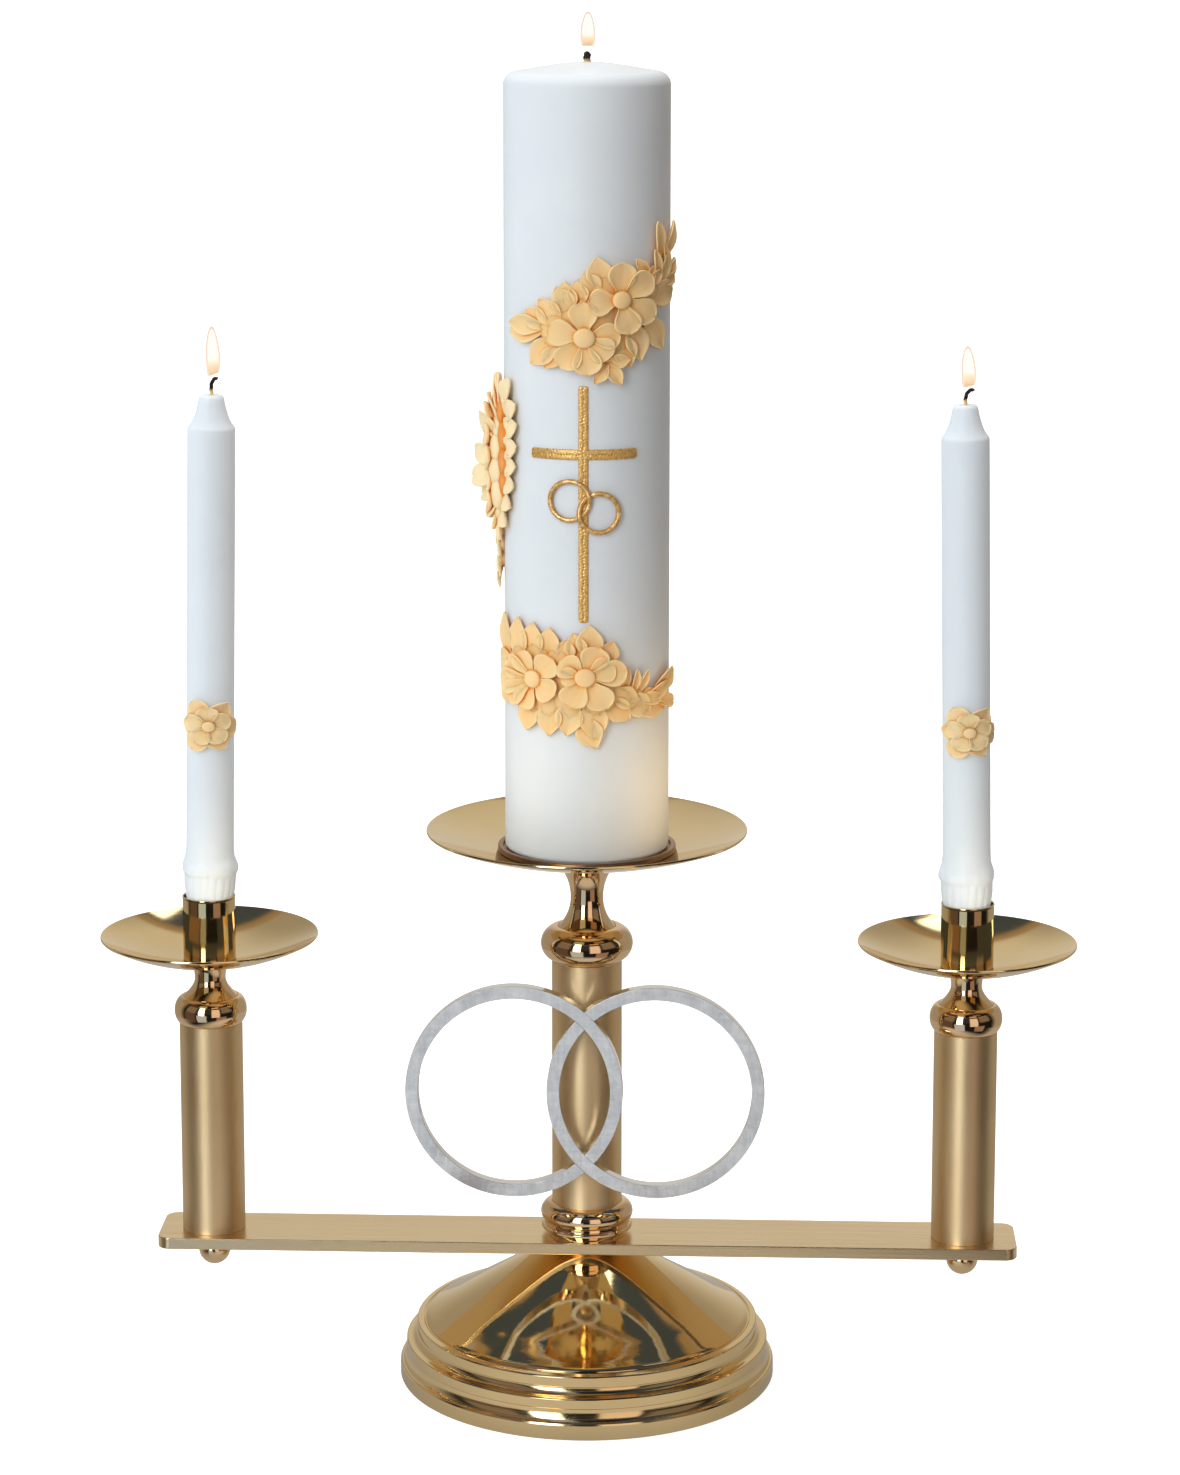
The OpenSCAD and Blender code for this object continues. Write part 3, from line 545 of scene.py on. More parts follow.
def rounded_bar(name, w, d, z0, z1, rc, f, body, mats, rep):
    """Flat bar with rounded corners and softly eased edges."""
    def outline(inset, n=14):
        pts = []
        r = rc - inset
        for (sx, sy, a0) in ((1, 1, 0), (-1, 1, 90), (-1, -1, 180), (1, -1, 270)):
            for i in range(n + 1):
                a = radians(a0 + 90 * i / n)
                pts.append((sx * (w / 2 - rc) + r * cos(a), sy * (d / 2 - rc) + r * sin(a), cos(a), sin(a)))
        return pts
    loops = []
    for i in range(7):
        a = radians(-90 + 90 * i / 6)
        loops.append((f - f * cos(a), z0 + f + f * sin(a), cos(a), sin(a)))
    for i in range(7):
        a = radians(90 * i / 6)
        loops.append((f - f * cos(a), z1 - f + f * sin(a), cos(a), sin(a)))
    verts, norms, faces = [], [], []
    rows = []
    for (ins, z, nr, nz) in loops:
        row = []
        for (x, y, nx, ny) in outline(ins):
            row.append(len(verts))
            verts.append((x * MM, y * MM, z * MM))
            norms.append((nx * nr, ny * nr, nz))
        rows.append(row)
    k = len(rows[0])
    for a, b in zip(rows[:-1], rows[1:]):
        for j in range(k):
            faces.append((a[j], a[(j + 1) % k], b[(j + 1) % k], b[j]))
    # caps: strips across the bar between matching points of the two long sides
    def cap(row, up):
        n = k // 4
        front_r = row[3 * n:4 * n]; back_r = row[0:n]; back_l = row[n:2 * n]; front_l = row[2 * n:3 * n]
        top = list(reversed(back_r)) ; 
        tr = back_r ; br = list(reversed(front_r)) ; tl = list(reversed(back_l)); bl = front_l
        right = list(zip(br, tr)); left = list(zip(bl, tl))
        for (a0, b0), (a1, b1) in zip(right[:-1], right[1:]):
            q_ = (a1, a0, b0, b1)
            faces.append(q_ if up else q_[::-1])
        for (a0, b0), (a1, b1) in zip(left[:-1], left[1:]):
            q_ = (a0, a1, b1, b0)
            faces.append(q_ if up else q_[::-1])
        q_ = (left[-1][0], right[-1][0], right[-1][1], left[-1][1])
        faces.append(q_ if up else q_[::-1])
    cap(rows[-1], True)
    cap(rows[0], False)
    mesh = bpy.data.meshes.new(name)
    mesh.from_pydata(verts, [], faces)
    finish_mesh(mesh, norms)
    return add_object(name, mesh, body, mats, rep)


rounded_bar("bar_flat", 406, 38, BAR_Z, BAR_TOP, 6, 0.45, "stand", M["bar"], ["crossbar"])


# ------------------------------------------------------------------ rings
RR, RW, RT, RX, RZ, RY = 50.8, 6.0, 6.35, 33.0, 146.2, 27.0
LAP = sqrt((RR - RW / 2) ** 2 - RX * RX)


def ring_mesh(cx, grow, f, seg=224, y_front=None, y_back=None):
    r1, r0 = RR + grow, RR - RW - grow
    ya, yb = -(RY) - grow, -(RY - RT) + grow
    if y_front is not None:
        ya = y_front
    if y_back is not None:
        yb = y_back
    prof = []
    corners = ((r1, ya, 0), (r1, yb, 1), (r0, yb, 2), (r0, ya, 3))
    k = 5
    for (rr, yy, idx) in corners:
        sr = 1 if rr == r1 else -1
        sy = -1 if yy == ya else 1
        cr, cy = rr - sr * f, yy - sy * f
        a0 = {0: -90, 1: 0, 2: 90, 3: 180}[idx]
        for i in range(k + 1):
            a = radians(a0 + 90 * i / k)
            prof.append((cr + f * cos(a), cy + f * sin(a)))
    # order runs counter-clockwise in (r, y)
    verts, faces = [], []
    m = len(prof)
    for j in range(seg):
        a = 2 * pi * (j + 0.5) / seg
        for (r, y) in prof:
            verts.append(((cx + r * cos(a)) * MM, y * MM, (RZ + r * sin(a)) * MM))
    for j in range(seg):
        j2 = (j + 1) % seg
        for i in range(m):
            i2 = (i + 1) % m
            faces.append((j * m + i, j2 * m + i, j2 * m + i2, j * m + i2))
    mesh = bpy.data.meshes.new("ring")
    mesh.from_pydata(verts, [], faces)
    bm = bmesh.new(); bm.from_mesh(mesh)
    bmesh.ops.recalc_face_normals(bm, faces=bm.faces)
    bm.to_mesh(mesh); bm.free()
    return mesh


def boxed(x0, x1, y0, y1, z0, z1):
    mesh = bpy.data.meshes.new("cut")
    v = [(x * MM, y * MM, z * MM) for x in (x0, x1) for y in (y0, y1) for z in (z0, z1)]
    mesh.from_pydata(v, [], [(0, 1, 3, 2), (4, 6, 7, 5), (0, 4, 5, 1), (2, 3, 7, 6), (0, 2, 6, 4), (1, 5, 7, 3)])
    return mesh


def boolean(mesh, cutter, op):
    a = bpy.data.objects.new("tmp_a", mesh)
    b = bpy.data.objects.new("tmp_b", cutter)
    for o in (a, b):
        bpy.context.scene.collection.objects.link(o)
    md = a.modifiers.new("b", "BOOLEAN")
    md.operation, md.solver, md.object = op, "EXACT", b
    dg = bpy.context.evaluated_depsgraph_get()
    res = bpy.data.meshes.new_from_object(a.evaluated_get(dg), depsgraph=dg)
    for o in (a, b):
        bpy.data.objects.remove(o, do_unlink=True)
    return res


def ring_piece(name, cx, other, laps, body, node):
    f = 0.32
    mesh = ring_mesh(cx, 0, f)
    for (front, up) in laps:
        mid = -(RY) + RT / 2
        if front:       # cut away the front half of this ring
            cut = ring_mesh(other, 0.04, 0.2, y_front=-RY - 2, y_back=mid + 0.02)
        else:
            cut = ring_mesh(other, 0.04, 0.2, y_front=mid - 0.02, y_back=-(RY - RT) + 2)
        z = RZ + (LAP if up else -LAP)
        box = boxed(-14, 14, -RY - 5, -(RY - RT) + 5, z - 16, z + 16)
        cut = boolean(cut, box, "INTERSECT")
        mesh = boolean(mesh, cut, "DIFFERENCE")
    mesh.update()
    ym = -(RY) + RT / 2
    rm = RR - RW / 2
    loops = [Vector((0, 0, 1))] * len(mesh.loops)
    mats = [0] * len(mesh.polygons)

    def normal_at(p):
        x, y, z = p.x / MM - cx, p.y / MM, p.z / MM - RZ
        rr = hypot(x, z) or 1
        a, b = rr - rm, y - ym
        qa = max(abs(a) - (RW / 2 - f), 0) * (1 if a > 0 else -1)
        qb = max(abs(b) - (RT / 2 - f), 0) * (1 if b > 0 else -1)
        if abs(qa) < 1e-4 and abs(qb) < 1e-4:
            return None
        l = hypot(qa, qb)
        qa, qb = qa / l, qb / l
        return Vector((qa * x / rr, qb, qa * z / rr))

    for p in mesh.polygons:
        nc = normal_at(p.center)
        on = nc is not None and nc.dot(p.normal) > 0.96
        if abs(p.normal.y) < 0.72:
            mats[p.index] = 1
        for li in p.loop_indices:
            v = mesh.vertices[mesh.loops[li].vertex_index].co
            nv = normal_at(v) if on else None
            if nv is None or nv.dot(p.normal) < 0.9:
                nv = p.normal
            loops[li] = nv.copy()
    mesh.polygons.foreach_set("use_smooth", [True] * len(mesh.polygons))
    mesh.normals_split_custom_set([tuple(v) for v in loops])
    for m_ in list(mesh.materials):
        pass
    mesh.materials.clear()
    mesh.polygons.foreach_set("material_index", mats)
    mesh.name = name
    return add_object(name, mesh, body, [M["ring_face"], M["ring_wall"]], [node])


ring_piece("ring_left_band", -RX, RX, [(False, True), (True, False)], "stand", "left_ring")
ring_piece("ring_right_band", RX, -RX, [(True, True), (False, False)], "stand", "right_ring")

# ------------------------------------------------------------------ carried-over nodes
CARRIED = {"base_felt": "felt", "base_weight": "iron", "base_washer": "steel", "base_nut": "steel", "draw_rod": "steel",
           "seat_screw": "steel", "ring_studs": "ring_wall", "left_tie_rod": "steel", "right_tie_rod": "steel"}
for node_name, key in CARRIED.items():
    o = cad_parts[node_name]
    o.data.materials.clear()
    o.data.materials.append(M[key])

# ------------------------------------------------------------------ candles
PR = 38.1


def peach(name, light, mid, deep_shade):
    mat, n, b = material(name)
    att = n.new("ShaderNodeAttribute", attribute_name="tone")
    v = n.coords()
    cloud = n.noise(v, 120, 3, 0.55)
    fine = n.noise(v, 900, 3, 0.6)
    t = n.m("ADD", att.outputs["Fac"], n.lin(cloud, 0.3, 0.7, -0.06, 0.06))
    # tone, with a little random cloud, picks the colour: low tone gives the deep orange painted into shaded creases,
    # high tone the lighter colour painted on open, lit rims
    n.link(n.ramp(t, [(0.0, deep_shade), (0.42, mid), (0.8, light), (1.0, tuple(min(1, c * 1.06) for c in light))]), b.inputs["Base Color"])
    b.inputs["Subsurface Weight"].default_value = 0.28
    b.inputs["Subsurface Radius"].default_value = (1.0, 0.52, 0.24)
    b.inputs["Subsurface Scale"].default_value = 0.0022
    b.inputs["IOR"].default_value = 1.44
    b.inputs["Specular IOR Level"].default_value = 0.30
    n.link(n.lin(fine, 0.3, 0.7, 0.46, 0.60), b.inputs["Roughness"])
    n.link(n.bump(n.m("ADD", n.m("MULTIPLY", cloud, 0.8), n.m("MULTIPLY", fine, 0.2)), 0.18, 0.0006), b.inputs["Normal"])
    return mat


M["peach"] = peach("wax_peach", (0.93, 0.645, 0.33), (0.90, 0.54, 0.215), (0.84, 0.33, 0.045))
# painted light: a lighter copy of the peach wax for the side spray, lifting the shade of its left-facing petals
M["peach_side"] = peach("wax_peach_side", (0.94, 0.715, 0.43), (0.92, 0.63, 0.31), (0.80, 0.25, 0.025))
M["peach_taper"] = peach("wax_peach_taper", (0.93, 0.68, 0.385), (0.84, 0.55, 0.25), (0.62, 0.28, 0.06))


def gold_leaf(name, stops):
    mat, n, b = material(name)
    att = n.new("ShaderNodeAttribute", attribute_name="tone")
    v = n.coords()
    c = n.noise(v, 700, 3, 0.6)
    k = n.m("ADD", att.outputs["Fac"], n.lin(c, 0.3, 0.7, -0.12, 0.12))
    n.link(n.ramp(k, stops), b.inputs["Base Color"])
    b.inputs["Metallic"].default_value = 0.5
    n.link(n.lin(c, 0.3, 0.7, 0.22, 0.38), b.inputs["Roughness"])
    n.link(n.bump(c, 0.35, 0.0004), b.inputs["Normal"])
    return mat


M["gold"] = gold_leaf("gold_embossed", [(0.0, (0.20, 0.085, 0.015)), (0.4, (0.70, 0.37, 0.09)), (0.8, (0.96, 0.60, 0.21)), (1.0, (1.0, 0.82, 0.48))])
M["gold_ring"] = gold_leaf("gold_ring", [(0.0, (0.13, 0.05, 0.010)), (0.4, (0.50, 0.235, 0.05)), (0.8, (0.80, 0.45, 0.14)), (1.0, (1.0, 0.76, 0.40))])


def table_at(tab, u):
    for i in range(len(tab) - 1):
        if u <= tab[i + 1][0] or i == len(tab) - 2:
            x0, y0 = tab[i]
            x1, y1 = tab[i + 1]
            xa, ya = tab[max(i - 1, 0)]
            xb, yb = tab[min(i + 2, len(tab) - 1)]
            h = x1 - x0
            m0 = (y1 - ya) / max(x1 - xa, 1e-6)
            m1 = (yb - y0) / max(xb - x0, 1e-6)
            t = min(max((u - x0) / h, 0), 1)
            return ((2 * t ** 3 - 3 * t * t + 1) * y0 + (t ** 3 - 2 * t * t + t) * h * m0
                    + (-2 * t ** 3 + 3 * t * t) * y1 + (t ** 3 - t * t) * h * m1)


def sstep(a, b, x):
    t = min(max((x - a) / (b - a), 0), 1)
    return t * t * (3 - 2 * t)


ROUND = [(0, .36), (.15, .52), (.35, .84), (.55, 1.0), (.72, .97), (.85, .78), (.94, .50), (1, .05)]
POINT = [(0, .24), (.2, .64), (.4, .95), (.52, 1.0), (.66, .90), (.8, .62), (.92, .29), (1, .03)]
BUDDY = [(0, .30), (.2, .72), (.45, 1), (.65, .96), (.82, .70), (.94, .38), (1, .05)]


class Wax:
    """Collects closed wax shells that are laid on a candle wall of radius R."""
    def __init__(self, R, seed=1):
        self.R, self.v, self.f, self.tone = R, [], [], []
        self.rnd = random.Random(seed)

    def point(self, phi0, z0, a, b, h):
        phi = radians(phi0) + a / self.R
        return ((self.R + h) * sin(phi), -(self.R + h) * cos(phi), z0 + b)

    def petal(self, c, ang, L, W, tab=ROUND, h0=2.6, h1=3.6, arch=0.5, cup=1.0, rim=0.3, vein=0.25, T=1.0, start=0.16,
              side=0.0, nu=15, nv=12, tip=0.0, curl=0.0):
        base = len(self.v)
        ca, sa = cos(radians(ang)), sin(radians(ang))
        jitter = self.rnd.uniform(-0.05, 0.05)
        wav = self.rnd.uniform(0, 6.28)
        top, bot, mid = [], [], []
        grid = {}
        for i in range(nu + 1):
            t = i / nu
            u = 1 - (1 - t) ** 1.45
            s = L * (start + (1 - start) * u)
            hw = W / 2 * table_at(tab, u)
            for j in range(nv + 1):
                v = -1 + 2 * j / nv
                v = v * (1.25 - 0.25 * v * v)
                y = hw * v + side * u * u * L * 0.18
                e = max(abs(v), sstep(0.55, 1.0, u) if abs(v) < 1 else 1)
                h = h0 + (h1 - h0) * sstep(0, 1, u) + arch * sin(pi * u) + cup * v * v * (0.25 + 0.75 * sin(pi * min(1, u * 0.85 + 0.12)))
                h += rim * sstep(0.66, 0.96, abs(v)) * sin(pi * min(1, u + 0.08)) ** 0.5 if u < 0.92 else rim * sstep(0.66, 0.96, abs(v)) * 0.6
                h += (tip + rim * 0.8) * sstep(0.80, 1.0, u)
                h -= vein * math.exp(-(v / 0.13) ** 2) * sin(pi * min(1, u * 0.92 + 0.04))
                h -= 0.6 * vein * math.exp(-((abs(v) - 0.48) / 0.13) ** 2) * sin(pi * min(1, u * 0.98)) ** 1.5
                h += 0.12 * sin(wav + 5 * u + 3 * v)
                h -= curl * sstep(0.72, 1.0, u)
                grid[i, j] = (s, y, h, u, v)
        def put(s, y, h, tone):
            a, b = s * ca - y * sa, s * sa + y * ca
            self.v.append(self.point(c[0], c[1], a, b, h))
            self.tone.append(tone + jitter)
            return len(self.v) - 1
        for i in range(nu + 1):
            for j in range(nv + 1):
                s, y, h, u, v = grid[i, j]
                # painted light and shade in the tone: rims and tips painted lighter, the petal's foot and centre vein
                # darker
                tn = 0.60 + 0.20 * sstep(0.6, 1, abs(v)) + 0.16 * sstep(0.75, 1, u) - 0.12 * (1 - sstep(0, 0.3, u)) - 0.05 * math.exp(-(v / 0.16) ** 2)
                top.append(put(s, y, h, tn))
        for i in range(nu + 1):
            for j in range(nv + 1):
                s, y, h, u, v = grid[i, j]
                th = T * (1 - 0.35 * max(abs(v), u) ** 4)
                # the underside is painted in a darker tone, as shade under the petal
                bot.append(put(s, y * 0.96, h - th, 0.42))
        k = nv + 1
        def q(*idx):
            self.f.append(tuple(idx))
        for i in range(nu):
            for j in range(nv):
                a, b, c2, d = i * k + j, (i + 1) * k + j, (i + 1) * k + j + 1, i * k + j + 1
                q(top[a], top[b], top[c2], top[d])
                q(bot[d], bot[c2], bot[b], bot[a])
        ring = ([(i, 0) for i in range(nu)] + [(nu, j) for j in range(nv)] + [(i, nv) for i in range(nu, 0, -1)]
                + [(0, j) for j in range(nv, 0, -1)])
        ms = []
        for (i, j) in ring:
            s, y, h, u, v = grid[i, j]
            ds = 0.22 if i == nu else (-0.15 if i == 0 else 0)
            dy = 0.24 * (-1 if j == 0 else 1 if j == nv else 0)
            ms.append(put(s + ds, y + dy, h - 0.42 * T, 0.74))
        for n_ in range(len(ring)):
            m_ = (n_ + 1) % len(ring)
            (i0, j0), (i1, j1) = ring[n_], ring[m_]
            t0, t1 = top[i0 * k + j0], top[i1 * k + j1]
            b0, b1 = bot[i0 * k + j0], bot[i1 * k + j1]
            q(t1, t0, ms[n_], ms[m_])
            q(ms[m_], ms[n_], b0, b1)

    def button(self, c, r, h0, dome, nr=7, seg=24, tone=0.66):
        rows = []
        prof = [(r * 1.0, h0 - 1.2), (r * 1.04, h0 - 0.2), (r * 1.03, h0 + 0.30 * dome)]
        for i in range(1, nr):
            t = i / nr * pi / 2
            prof.append((r * 1.0 * cos(t) ** 0.9, h0 + 0.30 * dome + 0.70 * dome * sin(t)))
        for (rr, h) in prof:
            row = []
            for j in range(seg):
                a = 2 * pi * j / seg
                self.v.append(self.point(c[0], c[1], rr * cos(a), rr * sin(a), h))
                # the low rows and the foot point of the button are painted darker, as shade at its base
                self.tone.append(tone - (0.3 if h < h0 + 0.1 else 0))
                row.append(len(self.v) - 1)
            rows.append(row)
        self.v.append(self.point(c[0], c[1], 0, 0, h0 + dome)); self.tone.append(tone + 0.02)
        apex = len(self.v) - 1
        self.v.append(self.point(c[0], c[1], 0, 0, h0 - 1.2)); self.tone.append(tone - 0.3)
        foot = len(self.v) - 1
        for lo, hi in zip(rows[:-1], rows[1:]):
            for j in range(seg):
                self.f.append((lo[j], lo[(j + 1) % seg], hi[(j + 1) % seg], hi[j]))
        for j in range(seg):
            self.f.append((rows[-1][j], rows[-1][(j + 1) % seg], apex))
            self.f.append((rows[0][(j + 1) % seg], rows[0][j], foot))

    def flower(self, c, petals, rb, h0=2.4, lift=1.3, wide=0.74, dome=1.7, cup=1.1, **kw):
        for n_, (ang, L) in enumerate(petals):
            self.petal(c, ang, L, (11.9 if L > 12 else L * 0.86) * wide / 0.74, ROUND, h0 + 0.35 * (n_ % 2), h0 + lift + 0.3 * (n_ % 2), cup=cup,
                       start=0.2, **kw)
        self.button(c, rb, h0 + 1.0, dome)

    def leaf_to(self, a, b, W=None, tab=POINT, **kw):
        da = radians(b[0] - a[0]) * self.R
        db = b[1] - a[1]
        L = hypot(da, db)
        kw.setdefault("start", 0.0)
        self.petal(a, degrees(atan2(db, da)), L, W or (0.52 * L + 2.2), tab, **kw)

    def build(self, name, body, mat, rep, place=None, reach=5.0, dirs=16, painted_light_lift=0.0):
        mesh = bpy.data.meshes.new(name)
        vv = [(x * MM, y * MM, z * MM) for (x, y, z) in self.v]
        if place is not None:
            vv = [tuple(place @ Vector(p)) for p in vv]
        mesh.from_pydata(vv, [], self.f)
        mesh.validate()
        finish_mesh(mesh)
        # painted shade: how open each point is to the light is baked into the colour tone, so the deep creases are
        # painted darker and more orange
        from mathutils.bvhtree import BVHTree
        wall, wf = [], []
        for k, z in enumerate((min(p[2] for p in self.v) - 20, max(p[2] for p in self.v) + 20)):
            for j in range(48):
                a = 2 * pi * j / 48
                p = Vector(((self.R) * cos(a) * MM, (self.R) * sin(a) * MM, z * MM))
                wall.append(place @ p if place is not None else p)
        for j in range(48):
            wf.append((j, (j + 1) % 48, 48 + (j + 1) % 48, 48 + j))
        n0 = len(vv)
        tree = BVHTree.FromPolygons([Vector(p) for p in vv] + wall, [tuple(f) for f in self.f] + [tuple(i + n0 for i in f) for f in wf])
        sph = []
        for i in range(dirs):
            zc = 1 - (i + 0.5) / dirs * 0.92
            rr = sqrt(1 - zc * zc)
            sph.append((rr * cos(2.39996 * i), rr * sin(2.39996 * i), zc))
        far = reach * MM
        tone = []
        for v, t in zip(mesh.vertices, self.tone):
            nn = v.normal
            e = nn.orthogonal().normalized()
            g_ = nn.cross(e)
            o = v.co + nn * 0.00012
            acc = 0.0
            for (x, y, z) in sph:
                hit = tree.ray_cast(o, e * x + g_ * y + nn * z, far)
                if hit[3] is not None:
                    acc += 1 - hit[3] / far
            crease_shade = acc / dirs
            # painted shade: the tone drops where the point is hemmed in by other wax
            tone.append(min(1, max(0, t + 0.12 + painted_light_lift - 1.15 * crease_shade)))
        at = mesh.attributes.new("tone", "FLOAT", "POINT")
        at.data.foreach_set("value", tone)
        return add_object(name, mesh, body, mat, rep)


# pillar wax with a soft shoulder and a low crown
z0 = 258.05
pillar_prof = ([(0, z0), (PR - 2.5, z0, 0.1)] + earc(PR - 2.5, z0 + 2.5, 2.5, 2.5, -80, 0, 7)
               + [(PR, 300), (PR, 400), (PR, 500), (PR, 590)] + earc(PR - 6.3, 611.7, 6.3, 6.2, 0, 78, 14)
               + [(24, 619.3), (18, 620.3), (12, 621.2), (7, 621.75), (4.2, 621.85), (2.8, 621.6), (2.0, 621.55), (1.2, 622.1), (0, 622.2)])
lathe("pillar_wax_body", pillar_prof, "pillar_candle", M["wax"], ["pillar_wax"], seg=192, fillet=0.6)

# upper spray
up = Wax(PR, 3)
LEAVES = dict(h0=0.7, h1=1.7, arch=0.9, cup=0.8, rim=0.25, vein=0.3, T=1.2)
for a, b in (((-24.7, 505.7), (-58, 501.7)), ((-23.7, 505.5), (-41.2, 512.7)), ((-15.3, 505.7), (-30.2, 517.9)), ((-18.1, 500.3), (-36.6, 488.5)),
             ((-7.2, 510.7), (-18.1, 523.5)), ((12.3, 521.8), (8.7, 537.1)), ((10.5, 520.2), (-0.7, 529.5)), ((33.5, 508), (39.6, 489.9)),
             ((43.9, 509.9), (61.1, 494.2)), ((23.4, 503.1), (31.4, 487.3)), ((46.7, 517.7), (77, 521)), ((-2, 515), (-4.7, 526.5)),
             ((-16, 497), (-25.7, 486.9)), ((-10.8, 511.4), (-12.4, 525.8))):
    up.leaf_to(a, b, W=min(12.0, 0.5 * hypot(radians(b[0] - a[0]) * PR, b[1] - a[1]) + 3.6), **LEAVES)
up.leaf_to((-27, 505.5), (-56, 506.5), W=9.5, h0=1.4, h1=2.6, arch=0.9, cup=0.7, rim=0.25, vein=0.3, T=1.2)
up.flower((0.7, 501.0), [(92, 16.2), (167, 15.7), (5, 15.1), (-84, 16.7), (-127, 16.6), (-35, 13.9)], 4.4, h0=2.3)
up.flower((24.2, 517.9), [(90, 16.6), (37, 17.4), (-28, 18.0), (-77, 15.7), (-175, 13.9)], 3.9, h0=3.1)
for ang, L in ((10, 12.0), (-58, 13.5), (-122, 12.5)):
    up.petal((15.5, 489.5), ang, L * 0.85, 6.4, POINT, h0=1.7, h1=2.6, cup=0.9, arch=0.6, start=0.0)
SPRIG = dict(h0=1.0, h1=2.2, arch=1.0, cup=0.9, rim=0.2, vein=0.25, T=1.2)
for a, b, wd in (((58.3, 535.4), (55, 551.5), 6.6), ((66.3, 535.5), (79.2, 550.9), 6.6), ((58.3, 524), (68.7, 538.2), 6.8),
                 ((64.1, 525.4), (82, 534), 6.0), ((56.6, 523.5), (51.9, 539.1), 5.0), ((47.7, 526.3), (35.7, 535.1), 5.6),
                 ((60.1, 523.9), (80, 526.3), 5.4), ((64.5, 527.5), (61.5, 542.6), 3.4), ((44.5, 523), (58, 530), 5.4), ((40, 519.5), (50, 532), 5.2)):
    up.leaf_to(a, b, W=wd, tab=BUDDY, **SPRIG)
for c, r in (((12, 512), 11), ((-7, 503), 10), ((27, 512), 10), ((3, 496), 10), ((18, 500), 9), ((-18, 504), 7.5), ((17, 522), 7), ((40, 516), 7), ((48, 523), 6)):
    up.button(c, r, 1.2, 1.0, nr=5, seg=36, tone=0.50)
up.build("spray_upper", "pillar_candle", M["peach"], ["upper_spray"])

# lower spray
lw = Wax(PR, 5)
for a, b in (((-63.4, 351.1), (-69, 371.4)), ((-49.2, 350.6), (-49.2, 371.3)), ((-36.3, 352.8), (-35.7, 370)), ((-23.5, 354.8), (-23, 368.2)),
             ((-56.4, 349.4), (-80, 349.1)), ((-12.8, 353.1), (-10.2, 363.6)), ((-2.5, 353.3), (-6.8, 366.3)), ((4.2, 353.8), (4.2, 370.1)),
             ((-37.3, 334.1), (-41.2, 319.7)), ((-22.5, 335.7), (-23.5, 318.4)), ((-7.6, 336.3), (-11, 318.9)), ((5.9, 336.2), (7.6, 317.3)),
             ((-0.8, 328.5), (8.6, 313.1)), ((14.3, 336), (31.7, 325.6)), ((18.1, 338.5), (38.3, 333.7)), ((29.2, 336.7), (48.7, 327.1)),
             ((35.3, 333.8), (63.5, 328.6)), ((-56, 341), (-74, 331)), ((14, 352), (19.5, 362.5))):
    lw.leaf_to(a, b, W=min(12.5, 0.5 * hypot(radians(b[0] - a[0]) * PR, b[1] - a[1]) + 3.6), **LEAVES)
lw.flower((-34.2, 344.2), [(122, 13.9), (-169, 21.0), (45, 14.4), (-31, 12.6), (-113, 15.2), (-144, 18.4), (158, 17.0)], 3.9, h0=2.7)
lw.flower((1.3, 346.4), [(143, 12.8), (26, 13.1), (67, 15.1), (10, 17.5), (-58, 16.8), (-118, 14.9), (175, 10.3)], 4.2, h0=3.2)
for a, b, wd in (((54.5, 337.2), (80, 344.8), 8.2), ((44.7, 333.5), (68.9, 339.7), 6.4), ((53.4, 333.7), (82, 328.5), 6.4),
                 ((28.2, 339.6), (29.2, 350.2), 3.6), ((34.3, 337.8), (37.4, 348.4), 3.6), ((37.6, 337.5), (46.4, 347.2), 3.6),
                 ((40, 334.5), (60, 333.5), 6.0)):
    lw.leaf_to(a, b, W=wd, tab=BUDDY, **SPRIG)
for c, r in (((-17, 345), 8), ((-16, 353), 6), ((-10, 335), 9), ((10, 337), 9), ((-27, 333), 8), ((15, 345), 7), ((-42, 345), 9), ((-34, 354), 6.5),
             ((-50, 352), 6), ((2, 352), 7), ((27, 337), 6), ((38, 334), 5), ((48, 334), 5)):
    lw.button(c, r, 1.2, 1.0, nr=5, seg=36, tone=0.50)
lw.build("spray_lower", "pillar_candle", M["peach"], ["lower_spray"])

# side spray: two deep flowers on the left limb, with leaves above and a thin tail below
sd = Wax(PR, 9)
for a, b, wd in (((-72, 466), (-58, 480), 9.4), ((-84, 462), (-79, 481.5), 8.6), ((-68, 462), (-51, 469), 9.6), ((-68, 455), (-49.5, 460), 9.8),
                 ((-68, 447), (-50, 450), 9.8), ((-68, 440), (-51, 440.5), 9.6), ((-68, 433), (-53, 431), 9.6), ((-70, 426), (-57, 421), 9.0),
                 ((-75, 419), (-63, 412), 8.4), ((-90, 462), (-99, 479), 8.4), ((-99, 458), (-117, 470), 8.6), ((-107, 450), (-129, 455), 8.6),
                 ((-108, 440), (-130, 440), 8.4), ((-108, 431), (-128, 425), 8.6), ((-84, 416), (-75, 404.5), 7.0), ((-92, 414), (-95, 398), 7.0),
                 ((-101, 419), (-115, 408), 8.0)):
    sd.leaf_to(a, b, W=wd, tab=BUDDY, **dict(LEAVES, h0=1.3, h1=2.8, T=1.7))
for a, b, wd in (((-88, 410), (-81, 396), 6.0), ((-88, 402), (-92, 389), 5.4), ((-86, 398), (-79, 387), 5.0), ((-87, 393), (-83, 381.5), 5.0)):
    sd.leaf_to(a, b, W=wd, tab=BUDDY, **SPRIG)
